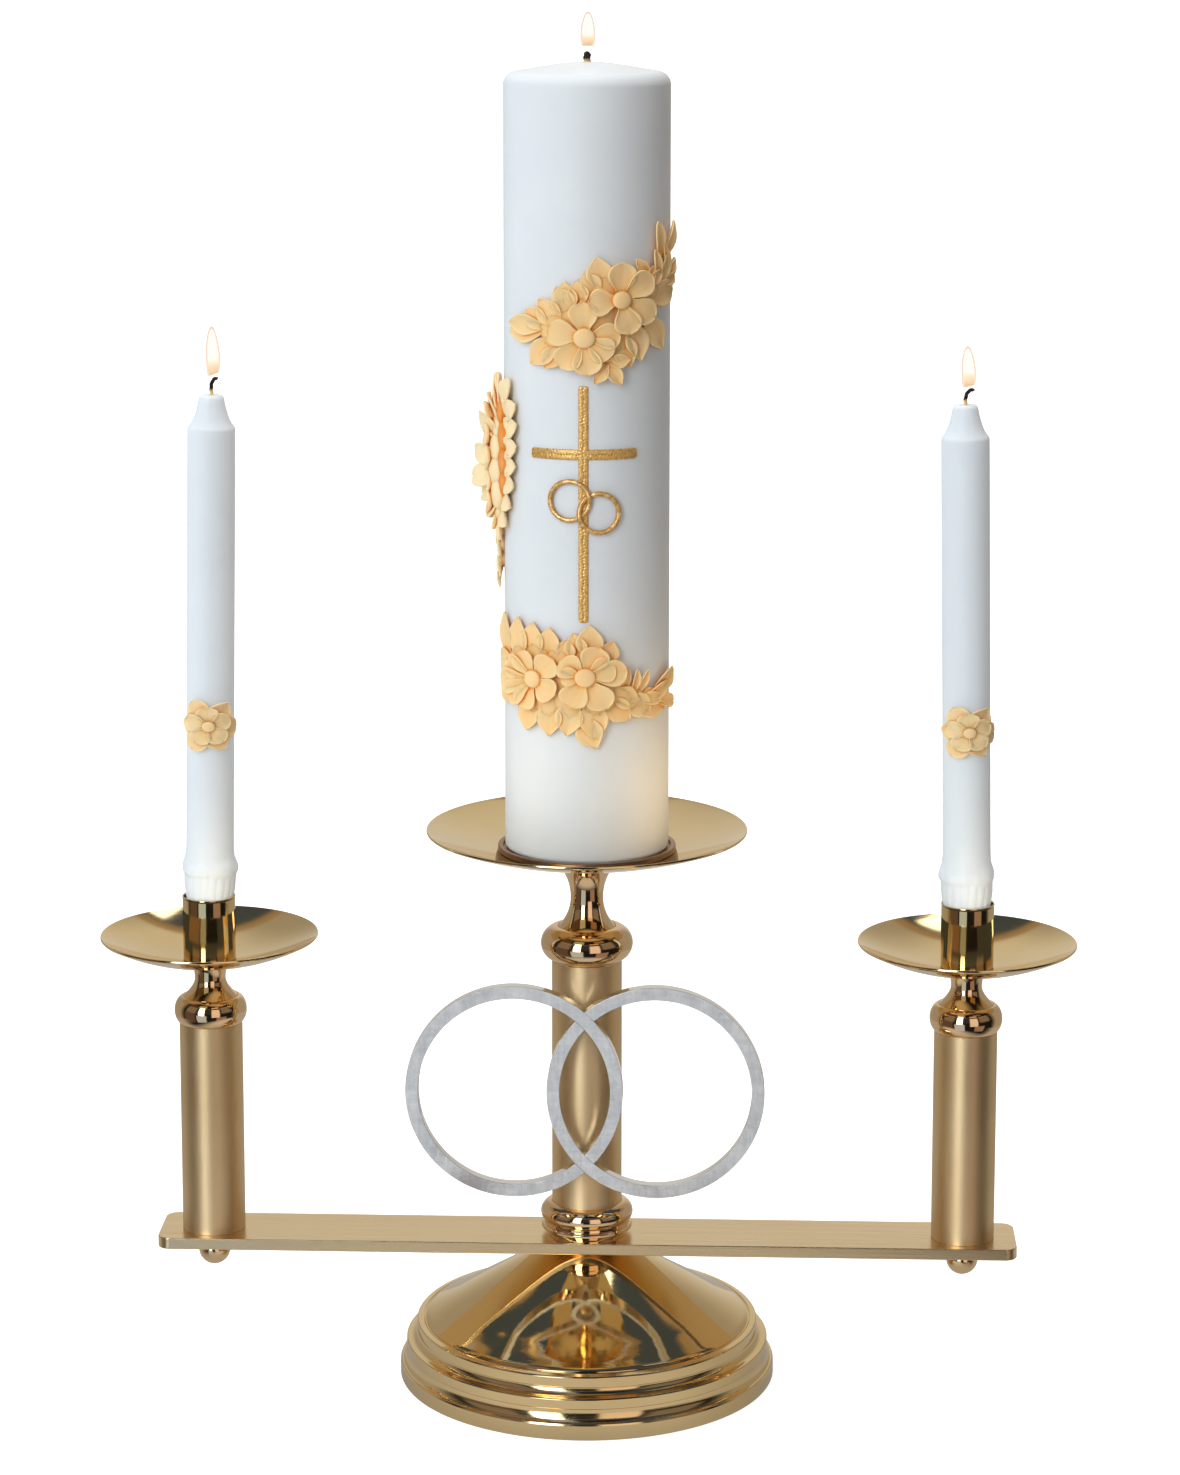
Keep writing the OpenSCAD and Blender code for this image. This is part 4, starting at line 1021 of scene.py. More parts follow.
# the solid body of the spray under its petals
for c, r, dm in (((-90, 455), 9, 4.4), ((-100, 450), 9, 4.6), ((-88, 446), 9, 5.6), ((-100, 440), 9, 5.2), ((-87, 436), 9, 5.8), ((-97, 430), 9, 5.0),
                 ((-86, 426), 9, 5.2), ((-92, 419), 8.5, 4.2), ((-84, 464), 7.5, 2.6), ((-94, 463), 7.5, 2.8), ((-88, 411), 6.5, 2.2), ((-76, 452), 7, 2.2),
                 ((-76, 441), 7, 2.4), ((-77, 431), 7, 2.2), ((-110, 444), 8, 2.4), ((-108, 433), 7, 2.2), ((-88, 402), 4.6, 1.2), ((-88, 394), 3.8, 1.0)):
    # the buttons nearest the limb get the lowest tone: a deep orange seam painted in as shade in the crease against the
    # wall
    sd.button(c, r, 1.2, dm, nr=7, seg=36, tone=0.56 if c[0] < -85 else -0.4)
sd.flower((-101, 446), [(92, 15.4), (35, 14.5), (-22, 14.8), (-84, 13.0), (-150, 15.0), (158, 15.0)], 4.2, h0=6.4, lift=1.5, cup=1.0, T=2.2)
sd.flower((-99, 426), [(90, 12.0), (30, 13.0), (-28, 13.4), (-88, 14.0), (-140, 14.0), (168, 14.0)], 4.0, h0=6.0, lift=1.2, cup=1.0, T=2.2)
for c, ang, L, w_, h0_, h1_ in (((-90, 459), 62, 10, 8.5, 4.8, 9.0), ((-85, 469), 84, 12, 7.5, 2.4, 3.6), ((-97, 456), 112, 10, 8.5, 5.4, 9.0),
                                ((-88, 417), -86, 9, 7, 3.6, 5.2)):
    sd.petal(c, ang, L, w_, POINT, h0=h0_, h1=h1_, arch=0.3, cup=0.7, start=0.0, T=1.9)
# petals that stand out from the wall and show in outline
for a, b, h1_, wd in (((-79, 454), (-98, 461), 12.0, 10.5), ((-78, 448), (-100, 451), 10.2, 10.0), ((-78, 442), (-98, 444), 14.0, 10.0),
                      ((-79, 435), (-98, 431), 15.2, 10.5), ((-79, 429), (-98, 423), 10.6, 10.0), ((-80, 422), (-96, 414), 7.4, 9.0),
                      ((-80, 460), (-94, 471), 7.2, 9.4), ((-82, 463), (-88, 479.5), 4.0, 8.6)):
    sd.leaf_to(a, b, W=wd, h0=3.6, h1=h1_, arch=0.9, cup=0.7, rim=0.25, vein=0.3, T=1.7)
# the side spray's tone is raised as painted light, against the shade it sits in
sd.build("spray_side", "pillar_candle", M["peach_side"], ["side_spray"], painted_light_lift=0.36)


# gold cross: two embossed bands on the wall
def emboss(obj_v, obj_f, tones, x0, x1, za, zb, h, nx, nz, rnd, ends=0.9):
    base = len(obj_v)
    long_z = (zb - za) > (x1 - x0)
    pitch = 1.45
    k = nx + 1
    top, bot = [], []
    for i in range(nz + 1):
        for j in range(nx + 1):
            x = x0 + (x1 - x0) * j / nx
            z = za + (zb - za) * i / nz
            s, t = ((z - za), (x - (x0 + x1) / 2) / ((x1 - x0) / 2)) if long_z else ((x - x0), (z - (za + zb) / 2) / ((zb - za) / 2))
            end = min(s, (zb - za if long_z else x1 - x0) - s)
            pull = 1 - 0.32 * (1 - sstep(0, ends, end))
            if long_z:
                x = (x0 + x1) / 2 + (x - (x0 + x1) / 2) * pull
            else:
                z = (za + zb) / 2 + (z - (za + zb) / 2) * pull
            row = (s / pitch) % 1.0
            dot = math.exp(-(((row - 0.5) * pitch) / 0.34) ** 2 - ((t * 2.3 + 0.25 * sin(s * 0.9)) / 0.42) ** 2)
            side_dot = math.exp(-((((s / pitch + 0.5) % 1.0 - 0.5) * pitch) / 0.36) ** 2 - ((abs(t) * 2.3 - 1.45) / 0.36) ** 2)
            nz_ = noise.noise(Vector((x * 1.3, z * 1.3, 3.0)))
            edge = 1 - sstep(0.80, 1.0, abs(t))
            e2 = sstep(0, 0.5, end)
            hh = 0.06 + (h - 0.06) * min(edge, 1) * (0.35 + 0.65 * e2) - 0.26 * dot - 0.13 * side_dot + 0.10 * nz_ * edge
            # painted shade: the tone is darkened in the dimples and the side dots
            deep_shade = (0.7 + 0.3 * sin(s * 0.37 + 1.1)) * dot
            top.append((x, z, max(hh, 0.06), 0.70 + 0.22 * nz_ - 0.62 * deep_shade - 0.22 * side_dot - 0.12 * (1 - edge)))
            bot.append((x, z, -0.25, 0.3))
    for (x, z, hh, tn) in top + bot:
        phi = x / PR if abs(x) < 60 else 0
        obj_v.append(((PR + hh) * sin(phi), -(PR + hh) * cos(phi), z))
        tones.append(min(1, max(0, tn)))
    nb = base + len(top)
    for i in range(nz):
        for j in range(nx):
            a, b, c_, d = i * k + j, i * k + j + 1, (i + 1) * k + j + 1, (i + 1) * k + j
            obj_f.append((base + a, base + b, base + c_, base + d))
            obj_f.append((nb + d, nb + c_, nb + b, nb + a))
    ring = [(0, j) for j in range(nx)] + [(i, nx) for i in range(nz)] + [(nz, j) for j in range(nx, 0, -1)] + [(i, 0) for i in range(nz, 0, -1)]
    for n_ in range(len(ring)):
        (i0, j0), (i1, j1) = ring[n_], ring[(n_ + 1) % len(ring)]
        a, b = i0 * k + j0, i1 * k + j1
        obj_f.append((base + b, base + a, nb + a, nb + b))


cv, cf, ct = [], [], []
emboss(cv, cf, ct, -2.3, 2.3, 371, 479, 0.72, 14, 300, RND)
emboss(cv, cf, ct, -23.4 * 1.09, 23.4 * 1.09, 445.4, 450.3, 0.70, 150, 14, RND)
cross_mesh = bpy.data.meshes.new("cross_bands")
cross_mesh.from_pydata([(x * MM, y * MM, z * MM) for x, y, z in cv], [], cf)
finish_mesh(cross_mesh)
at_ = cross_mesh.attributes.new("tone", "FLOAT", "POINT")
at_.data.foreach_set("value", ct)
add_object("cross_embossed", cross_mesh, "pillar_candle", M["gold"], ["wax_cross"])

# the two small interlocked rings, modelled as half-round wax cords
rv, rf, rt_ = [], [], []
for (cx_, cz_, over) in ((-6.2, 427.0, 1), (7.0, 421.4, -1)):
    n0 = len(rv)
    NS, NT = 96, 18
    other = (7.0, 421.4) if cx_ < 0 else (-6.2, 427.0)
    dx, dz = other[0] - cx_, other[1] - cz_
    dd = hypot(dx, dz)
    half = math.acos(min(1, dd / 2 / 8.85))
    base_a = atan2(dz, dx)
    for i in range(NS):
        a = 2 * pi * i / NS
        wave = 0.0
        for sgn_, a_c in ((1, base_a + half), (-1, base_a - half)):
            d_ = (a - a_c + pi) % (2 * pi) - pi
            wave += sgn_ * math.exp(-(d_ / 0.26) ** 2)
        up_here = wave * 0.72
        ham = 0.10 * noise.noise(Vector((cos(a) * 5, sin(a) * 5, cx_)))
        for j in range(NT):
            s = 2 * pi * j / NT
            rr = 8.85 + 1.15 * cos(s)
            hh = 1.25 + (1.05 + ham) * sin(s) + up_here
            x, z = cx_ + rr * cos(a), cz_ + rr * sin(a)
            phi = x / PR
            rv.append(((PR + hh) * sin(phi), -(PR + hh) * cos(phi), z))
            # painted light and shade: the top of each cord is painted lighter and its side against the wall darker
            rt_.append(0.58 + 0.28 * sin(s) + 2.2 * ham)
    for i in range(NS):
        for j in range(NT):
            a_, b_ = n0 + i * NT + j, n0 + ((i + 1) % NS) * NT + j
            c_, d_ = n0 + ((i + 1) % NS) * NT + (j + 1) % NT, n0 + i * NT + (j + 1) % NT
            rf.append((a_, b_, c_, d_))
rings_mesh = bpy.data.meshes.new("cross_rings")
rings_mesh.from_pydata([(x * MM, y * MM, z * MM) for x, y, z in rv], [], rf)
bm = bmesh.new(); bm.from_mesh(rings_mesh)
bmesh.ops.recalc_face_normals(bm, faces=bm.faces)
bm.to_mesh(rings_mesh); bm.free()
finish_mesh(rings_mesh)
at_ = rings_mesh.attributes.new("tone", "FLOAT", "POINT")
at_.data.foreach_set("value", [min(1, max(0, t)) for t in rt_])
add_object("rings_wax_gold", rings_mesh, "pillar_candle", M["gold_ring"], ["wax_rings"])


# ------------------------------------------------------------------ wicks and flames
def wick_material(name, z_lo, z_hi, ember):
    """Cream at the wax, orange then black above, with a faint ember at the tip."""
    mat, n, b = material(name)
    att = n.new("ShaderNodeAttribute", attribute_name="along")
    c = n.noise(n.coords(), 900, 3, 0.6)
    k = n.m("ADD", att.outputs["Fac"], n.lin(c, 0.3, 0.7, -0.03, 0.03))
    stops = [(0.0, (0.86, 0.70, 0.48)), (z_lo, (0.80, 0.50, 0.22)), (z_hi, (0.009, 0.008, 0.008)), (0.9, (0.009, 0.008, 0.008)),
             (1.0, ember)]
    n.link(n.ramp(k, stops), b.inputs["Base Color"])
    n.link(n.lin(c, 0.3, 0.7, 0.7, 0.95), b.inputs["Roughness"])
    n.link(n.bump(c, 0.7, 0.0003), b.inputs["Normal"])
    return mat


def sweep(name, pts, rads, body, mat, rep, place=None, seg=20, braid=0.10):
    """A braided wick along a smooth path (mm), closed at both ends."""
    # resample with Catmull-Rom
    fine = []
    P_ = [Vector(p) for p in pts]
    for i in range(len(P_) - 1):
        a, b = P_[max(i - 1, 0)], P_[i]
        c, d = P_[i + 1], P_[min(i + 2, len(P_) - 1)]
        for k in range(12):
            t = k / 12
            fine.append((0.5 * ((2 * b) + (-a + c) * t + (2 * a - 5 * b + 4 * c - d) * t * t + (-a + 3 * b - 3 * c + d) * t ** 3),
                         rads[i] + (rads[i + 1] - rads[i]) * t))
    fine.append((P_[-1], rads[-1]))
    tot = sum((fine[i + 1][0] - fine[i][0]).length for i in range(len(fine) - 1))
    vs_, fs_, al = [], [], []
    run = 0.0
    side = Vector((0, 1, 0))
    rows = []
    for i, (p, r) in enumerate(fine):
        t = (fine[min(i + 1, len(fine) - 1)][0] - fine[max(i - 1, 0)][0]).normalized()
        side = (side - t * side.dot(t)).normalized()
        up_ = t.cross(side)
        if i:
            run += (p - fine[i - 1][0]).length
        row = []
        end = 1.0
        left = tot - run
        if left < r * 1.1:
            end = sqrt(max(0.02, 1 - (1 - left / (r * 1.1)) ** 2))
        for j in range(seg):
            a = 2 * pi * j / seg
            rr = r * end * (1 + braid * sin(3 * a + run * 2.3) * 0.6 + braid * 0.6 * sin(3 * a - run * 2.3))
            q_ = p + (side * cos(a) + up_ * sin(a)) * rr
            vs_.append(q_); al.append(run / tot); row.append(len(vs_) - 1)
        rows.append(row)
    for lo, hi in zip(rows[:-1], rows[1:]):
        for j in range(seg):
            fs_.append((lo[j], lo[(j + 1) % seg], hi[(j + 1) % seg], hi[j]))
    vs_.append(fine[-1][0]); al.append(1.0); apex = len(vs_) - 1
    vs_.append(fine[0][0]); al.append(0.0); foot = len(vs_) - 1
    for j in range(seg):
        fs_.append((rows[-1][j], rows[-1][(j + 1) % seg], apex))
        fs_.append((rows[0][(j + 1) % seg], rows[0][j], foot))
    vv = [v * MM for v in vs_]
    if place is not None:
        vv = [place @ v for v in vv]
    mesh = bpy.data.meshes.new(name)
    mesh.from_pydata([tuple(v) for v in vv], [], fs_)
    bm = bmesh.new(); bm.from_mesh(mesh)
    bmesh.ops.recalc_face_normals(bm, faces=bm.faces)
    bm.to_mesh(mesh); bm.free()
    finish_mesh(mesh)
    at_ = mesh.attributes.new("along", "FLOAT", "POINT")
    at_.data.foreach_set("value", al)
    return add_object(name, mesh, body, mat, rep)


def flame_material(name, color, strength, alpha, tip=None):
    mat = bpy.data.materials.new(name)
    mat.use_nodes = True
    mat.node_tree.nodes.clear()
    n = Nodes(mat.node_tree)
    out = n.new("ShaderNodeOutputMaterial")
    att = n.new("ShaderNodeAttribute", attribute_name="rise")
    c = n.noise(n.coords(), 300, 2, 0.5)
    b = n.new("ShaderNodeBsdfPrincipled")
    b.inputs["Base Color"].default_value = (0.0, 0.0, 0.0, 1)
    b.inputs["Roughness"].default_value = 1.0
    b.inputs["Specular IOR Level"].default_value = 0.0
    n.link(n.ramp(n.m("ADD", att.outputs["Fac"], n.lin(c, 0.3, 0.7, -0.04, 0.04)), color), b.inputs["Emission Color"])
    b.inputs["Emission Strength"].default_value = strength
    n.link(n.ramp(att.outputs["Fac"], alpha), b.inputs["Alpha"])
    n.link(b.outputs[0], out.inputs[0])
    return mat


M["flame_shell"] = flame_material("flame_outer", [(0.0, (0.84, 0.56, 0.33)), (0.3, (0.74, 0.46, 0.29)), (1.0, (0.72, 0.44, 0.28))], 1.0,
                                  [(0.0, (0.46,) * 3), (0.5, (0.50,) * 3), (1.0, (0.52,) * 3)])
M["flame_core"] = flame_material("flame_inner", [(0.0, (0.52, 0.36, 0.22)), (0.16, (0.78, 0.62, 0.40)), (0.36, (1.0, 0.98, 0.94)), (1.0, (1.0, 0.99, 0.96))], 1.7,
                                 [(0.0, (0.45,) * 3), (0.25, (0.80,) * 3), (0.9, (0.85,) * 3), (1.0, (0.5,) * 3)])


def flame(name, foot, tip, width, body, place=None, lean_x=0.0, slope=0.0, lift=1.4, flat=0.72, scale=1.0, mat="flame_shell"):
    """Flame as a closed shell: pointed at the top, widest low down, with a hollow foot over the wick."""
    x0, zb = foot
    xt, zt = tip
    H = zt - zb
    NT, SEG = 34, 36
    prof = [(0.0, 0.86), (0.10, 0.96), (0.25, 1.0), (0.42, 0.985), (0.58, 0.91), (0.72, 0.78), (0.84, 0.60), (0.93, 0.42), (0.98, 0.24), (1.0, 0.05)]
    verts, faces, rise = [], [], []
    rows = []
    # hollow underside from the middle outwards
    for k in range(1, 7):
        q_ = k / 6
        row = []
        for j in range(SEG):
            a = 2 * pi * j / SEG
            r = width / 2 * 0.80 * q_ * scale
            x = x0 + r * cos(a)
            y = r * sin(a) * flat
            z = zb + lift * (1 - q_ ** 2.2) + slope * (x - x0)
            verts.append((x, y, z)); rise.append(0.0); row.append(len(verts) - 1)
        rows.append(row)
    for i in range(1, NT + 1):
        t = i / NT
        t2 = 1 - (1 - t) ** 1.25
        row = []
        for j in range(SEG):
            a = 2 * pi * j / SEG
            r = width / 2 * table_at(prof, t2) * scale
            cxx = x0 + (xt - x0) * sstep(0.1, 1, t2) + lean_x * sin(pi * t2)
            x = cxx + r * cos(a)
            z = zb + H * (t2 if scale == 1 else 0.04 + t2 * 0.90) + slope * (x - x0) * (1 - sstep(0, 0.5, t2))
            verts.append((x, r * sin(a) * flat, z)); rise.append(t2); row.append(len(verts) - 1)
        rows.append(row)
    verts.append((x0, 0, zb + lift)); rise.append(0.0); foot_i = len(verts) - 1
    top_z = zb + H * (1.0 if scale == 1 else 0.945)
    verts.append((xt, 0, top_z + 0.05)); rise.append(1.0); apex = len(verts) - 1
    for lo, hi in zip(rows[:-1], rows[1:]):
        for j in range(SEG):
            faces.append((lo[j], lo[(j + 1) % SEG], hi[(j + 1) % SEG], hi[j]))
    for j in range(SEG):
        faces.append((rows[-1][j], rows[-1][(j + 1) % SEG], apex))
        faces.append((rows[0][(j + 1) % SEG], rows[0][j], foot_i))
    vv = [Vector(v) * MM for v in verts]
    if place is not None:
        vv = [place @ v for v in vv]
    mesh = bpy.data.meshes.new(name)
    mesh.from_pydata([tuple(v) for v in vv], [], faces)
    bm = bmesh.new(); bm.from_mesh(mesh)
    bmesh.ops.recalc_face_normals(bm, faces=bm.faces)
    bm.to_mesh(mesh); bm.free()
    finish_mesh(mesh)
    at_ = mesh.attributes.new("rise", "FLOAT", "POINT")
    at_.data.foreach_set("value", rise)
    o = add_object(name, mesh, body, M[mat], ())
    o.visible_shadow = False
    return o


M["wick_pillar"] = wick_material("wick_pillar", 0.36, 0.56, (0.02, 0.018, 0.018))
M["wick_taper"] = wick_material("wick_taper", 0.30, 0.42, (0.30, 0.03, 0.015))
sweep("wick_pillar_braid", [(0, 0, 619.5), (0, 0, 621.5), (0.05, 0, 623.4), (0.1, 0, 625.2), (0.1, 0, 626.6)], [1.65, 1.65, 1.68, 1.7, 1.62],
      "pillar_candle", M["wick_pillar"], ["pillar_wick"], braid=0.08)
flame("flame_pillar_outer", (0.4, 628.9), (0.5, 644.4), 6.9, "pillar_candle", lift=1.3)
flame("flame_pillar_inner", (0.4, 629.2), (0.5, 644.4), 6.9, "pillar_candle", lift=1.3, scale=0.76, mat="flame_core")

# ------------------------------------------------------------------ tapers
LEAN = radians(1.1)
for side, sx, tip_z in (("left", -178.0, 469.5), ("right", 178.0, 466.8)):
    sg = -1 if side == "left" else 1
    place = Matrix.Translation((sx * MM, 0, 206.6 * MM)) @ Matrix.Rotation(-sg * LEAN, 4, "Y")
    L = tip_z - 206.6
    rr_ = random.Random(11 if sg < 0 else 12)
    ph = rr_.uniform(0, 6)

    def wob(r, z, a, ph=ph, sg=sg):
        if r < 4:
            return 0.0
        w_ = 0.0
        fl = sstep(3, 8, z) * (1 - sstep(36.0 + 0.9 * sin(5 * a + ph) + 0.5 * sin(11 * a), 37.6 + 0.9 * sin(5 * a + ph) + 0.5 * sin(11 * a), z))
        w_ += fl * (0.62 * (abs(cos(9 * a + ph + 0.25 * sin(z * 0.3))) ** 0.45 - 0.80))
        bl = sstep(34, 38, z) * (1 - sstep(43, 50, z))
        w_ += bl * (0.42 * noise.noise(Vector((cos(a) * 1.3 + ph, sin(a) * 1.3, z * 0.09))) + 0.30 * noise.noise(Vector((cos(a) * 4, sin(a) * 4 + ph, z * 0.2))))
        drip = math.exp(-((a - (0.15 if sg < 0 else 2.9) + pi) % (2 * pi) - pi) ** 2 / 0.18) * math.exp(-((z - 38.6) / 2.6) ** 2)
        w_ += 0.55 * drip
        w_ += 0.05 * noise.noise(Vector((cos(a) * 2, sin(a) * 2, z * 0.03)))
        tp = sstep(L - 16, L - 8, z)
        w_ += tp * 0.12 * noise.noise(Vector((cos(a) * 3, sin(a) * 3, z * 0.3)))
        return w_

    zs = [(9.4, 0, 0.3), (9.9, 0.8, 0.3)]
    body_pts = [(9.95, 3), (10.15, 8), (10.4, 14), (10.65, 20), (10.75, 24), (11.0, 25.6), (11.35, 27), (11.75, 29.2), (11.95, 31.5), (12.0, 34.0),
                (12.08, 36.2), (12.35, 37), (12.72, 37.7), (12.85, 38.8), (12.85, 40.2), (12.6, 41.8), (12.05, 43.2), (11.6, 44.6), (11.35, 46.4), (11.25, 48.6), (11.2, 52), (11.15, 60)]
    body_pts += [(11.12, 60 + (L - 15.5 - 60) * i / 24) for i in range(1, 24)]
    tips = [(11.1, L - 15.7), (10.75, L - 14.7), (9.6, L - 13.4), (8.55, L - 11.4), (7.7, L - 9.2), (7.05, L - 7.0), (6.5, L - 4.8), (6.1, L - 2.8), (5.75, L - 1.2),
            (5.2, L - 0.35), (4.3, L), (3.0, L - 0.15), (1.6, L - 0.35), (1.0, L - 0.2), (0, L - 0.1)]
    dense = [(0, 0), (5, 0)] + zs + body_pts + tips
    rows_ = []
    for i in range(len(dense) - 1):
        a, b = dense[i], dense[i + 1]
        kk = 1
        if 0.5 < a[1] < 60:
            kk = max(1, int(abs(b[1] - a[1]) / 0.7))
        for j in range(kk):
            t = j / kk
            rows_.append((a[0] + (b[0] - a[0]) * t, a[1] + (b[1] - a[1]) * t))
    rows_.append(dense[-1][:2])
    lathe(side + "_taper_body", rows_, side + "_taper", M["wax_taper"], [side + "_taper_wax"], seg=128, fillet=0.05, wobble=wob, place=place)
    if sg < 0:
        wp = [(0, 0, L - 2), (0, 0, L + 1.0), (-0.1, 0, L + 3.4), (0.25, 0, L + 5.6), (1.3, 0, L + 7.1), (2.6, 0, L + 7.6), (3.1, 0, L + 7.5)]
    else:
        wp = [(0, 0, L - 2), (0, 0, L + 0.8), (0.1, 0, L + 2.8), (0.75, 0, L + 4.9), (2.0, 0, L + 6.3), (3.5, 0, L + 6.6), (4.2, 0, L + 6.2)]
    sweep(side + "_wick_braid", wp, [0.9, 0.9, 0.9, 0.88, 0.86, 0.84, 0.82], side + "_taper", M["wick_taper"], [side + "_taper_wick"], place=place)
    # flame, upright in the world although the candle leans
    ux = sx + sin(-sg * LEAN) * L
    if sg < 0:
        args = dict(foot=(ux + 1.15, tip_z + 9.3), tip=(ux + 0.6, tip_z + 31.6), width=6.7, slope=0.36, lift=1.0)
    else:
        args = dict(foot=(ux + 1.5, tip_z + 8.3), tip=(ux + 0.7, tip_z + 26.8), width=6.8, slope=0.24, lift=1.0)
    flame(side + "_flame_outer", body=side + "_taper", **args)
    flame(side + "_flame_inner", body=side + "_taper", scale=0.76, mat="flame_core", **args)
    # flower
    tf = Wax(11.1, 21 if sg < 0 else 22)
    c = (0 + 4, 109.5)
    for n_, (ang, LL) in enumerate(((122, 13.4), (176, 13.0), (236, 13.6), (300, 13.2), (-6, 13.4), (52, 13.6))):
        tf.petal(c, ang, LL, 9.6, POINT if n_ % 2 else ROUND, h0=0.9, h1=1.7, arch=0.6, cup=0.8, rim=0.25, vein=0.2, T=1.0, start=0.1, nu=13, nv=10)
    for n_, (ang, LL) in enumerate(((95, 9.2), (165, 9.6), (238, 9.2), (308, 9.2), (24, 9.0))):
        tf.petal(c, ang, LL, 8.0, ROUND, h0=2.0 + 0.2 * (n_ % 2), h1=2.9, arch=0.4, cup=0.9, rim=0.3, vein=0.2, T=0.9, start=0.12, nu=12, nv=10)
    tf.button(c, 2.4, 3.0, 1.1, nr=6, seg=20)
    tf.build(side + "_flower_wax", side + "_taper", M["peach_taper"], [side + "_taper_flower"], place=place, reach=3.5)

# ------------------------------------------------------------------ studio
floor_mesh = bpy.data.meshes.new("floor")
fv = [(0, 0, 0)] + [(90 * cos(2 * pi * i / 96), 90 * sin(2 * pi * i / 96), 0) for i in range(96)]
floor_mesh.from_pydata(fv, [], [(0, 1 + i, 1 + (i + 1) % 96) for i in range(96)])
floor = bpy.data.objects.new("floor", floor_mesh)
bpy.context.scene.collection.objects.link(floor)
fmat, fn, fb = material("floor_white")
grain = fn.noise(fn.coords(), 160, 3, 0.6)
fn.link(fn.mix(grain, (0.92, 0.92, 0.92), (0.94, 0.94, 0.94)), fb.inputs["Base Color"])
fb.inputs["Roughness"].default_value = 0.9
fb.inputs["Specular IOR Level"].default_value = 0.1
fb.inputs["Emission Color"].default_value = (1, 1, 1, 1)
fc = fn.new("ShaderNodeTexCoord")
fs = fn.new("ShaderNodeSeparateXYZ")
fn.link(fc.outputs["Object"], fs.inputs[0])
far = fn.m("SQRT", fn.m("ADD", fn.m("POWER", fs.outputs[0], 2.0), fn.m("POWER", fs.outputs[1], 2.0)))
fn.link(fn.step(far, 0.5, 3.0, 0.70, 1.0), fb.inputs["Emission Strength"])
floor.data.materials.append(fmat)

for att_ in ("visible_glossy", "visible_diffuse", "visible_transmission", "visible_volume_scatter", "visible_shadow"):
    setattr(floor, att_, False)


def level_band(n, x, lo, hi, soft):
    return n.m("MULTIPLY", n.step(x, lo - soft, lo + soft), n.step(x, hi - soft, hi + soft, 1.0, 0.0))


# the lit table top round the set, as the brass and the wax see it: it falls away into the dark towards the camera
table_mesh = bpy.data.meshes.new("table_light")
tv, tf_ = [], []
rings_r = [0.0, 0.12, 0.25, 0.40, 0.60]
for r_ in rings_r:
    for i in range(64):
        tv.append((r_ * cos(2 * pi * i / 64), r_ * sin(2 * pi * i / 64), 0.0005))
for k in range(len(rings_r) - 1):
    for i in range(64):
        tf_.append((k * 64 + i, (k + 1) * 64 + i, (k + 1) * 64 + (i + 1) % 64, k * 64 + (i + 1) % 64))
table_mesh.from_pydata(tv, [], tf_)
table = bpy.data.objects.new("table_light", table_mesh)
bpy.context.scene.collection.objects.link(table)
gm = bpy.data.materials.new("table_light")
gm.use_nodes = True
gm.node_tree.nodes.clear()
g = Nodes(gm.node_tree)
go = g.new("ShaderNodeOutputMaterial")
gc = g.new("ShaderNodeTexCoord")
gs = g.new("ShaderNodeSeparateXYZ")
g.link(gc.outputs["Object"], gs.inputs[0])
rad = g.m("SQRT", g.m("ADD", g.m("POWER", gs.outputs[0], 2.0), g.m("POWER", gs.outputs[1], 2.0)))
gaz = g.m("ABSOLUTE", g.m("MULTIPLY", g.m("ARCTAN2", gs.outputs[0], g.m("MULTIPLY", gs.outputs[1], -1.0)), 180 / pi))
fwd_ = g.step(gaz, 70, 105, 1.0, 0.0)
gone = g.m("MULTIPLY", fwd_, g.step(rad, 0.18, 0.35))
# painted shadow: the table light is dimmed close round the base, as a contact shadow
painted_contact_shadow = g.step(rad, 0.085, 0.125, 0.72, 1.0)
ge = g.new("ShaderNodeEmission")
ge.inputs[0].default_value = (1.0, 0.975, 0.94, 1)
g.link(g.m("MULTIPLY", painted_contact_shadow, g.step(gaz, 25, 85, 0.60, 0.44)), ge.inputs[1])
gt = g.new("ShaderNodeBsdfTransparent")
gx = g.new("ShaderNodeMixShader")
g.link(g.m("MAXIMUM", gone, g.step(rad, 0.5, 0.59)), gx.inputs[0])
g.link(ge.outputs[0], gx.inputs[1]); g.link(gt.outputs[0], gx.inputs[2])
g.link(gx.outputs[0], go.inputs[0])
table.data.materials.append(gm)
table.visible_camera = False
table.visible_shadow = False

world = bpy.data.worlds.new("studio")
bpy.context.scene.world = world
world.use_nodes = True
world.node_tree.nodes.clear()
w = Nodes(world.node_tree)
wo = w.new("ShaderNodeOutputWorld")
tc = w.new("ShaderNodeTexCoord")
sp = w.new("ShaderNodeSeparateXYZ")
w.link(tc.outputs["Generated"], sp.inputs[0])
X, Y, Z = sp.outputs
el = w.m("MULTIPLY", w.m("ARCSINE", Z), 180 / pi)
az = w.m("MULTIPLY", w.m("ARCTAN2", X, w.m("MULTIPLY", Y, -1.0)), 180 / pi)     # 0 is the open front of the set, + to the right
az_b = w.m("MULTIPLY", w.m("ARCTAN2", X, Y), 180 / pi)                          # 0 is straight behind the object
aaz = w.m("ABSOLUTE", az)
front = w.step(aaz, 82.0, 108.0, 1.0, 0.0)
ab = w.m("ABSOLUTE", az_b)
wall = w.m("MAXIMUM", w.step(el, 27.0, 29.5, 1.0, 0.0), w.m("MULTIPLY", w.step(ab, 39.0, 43.0, 1.0, 0.0), w.step(el, 45.5, 48.0, 1.0, 0.0)))
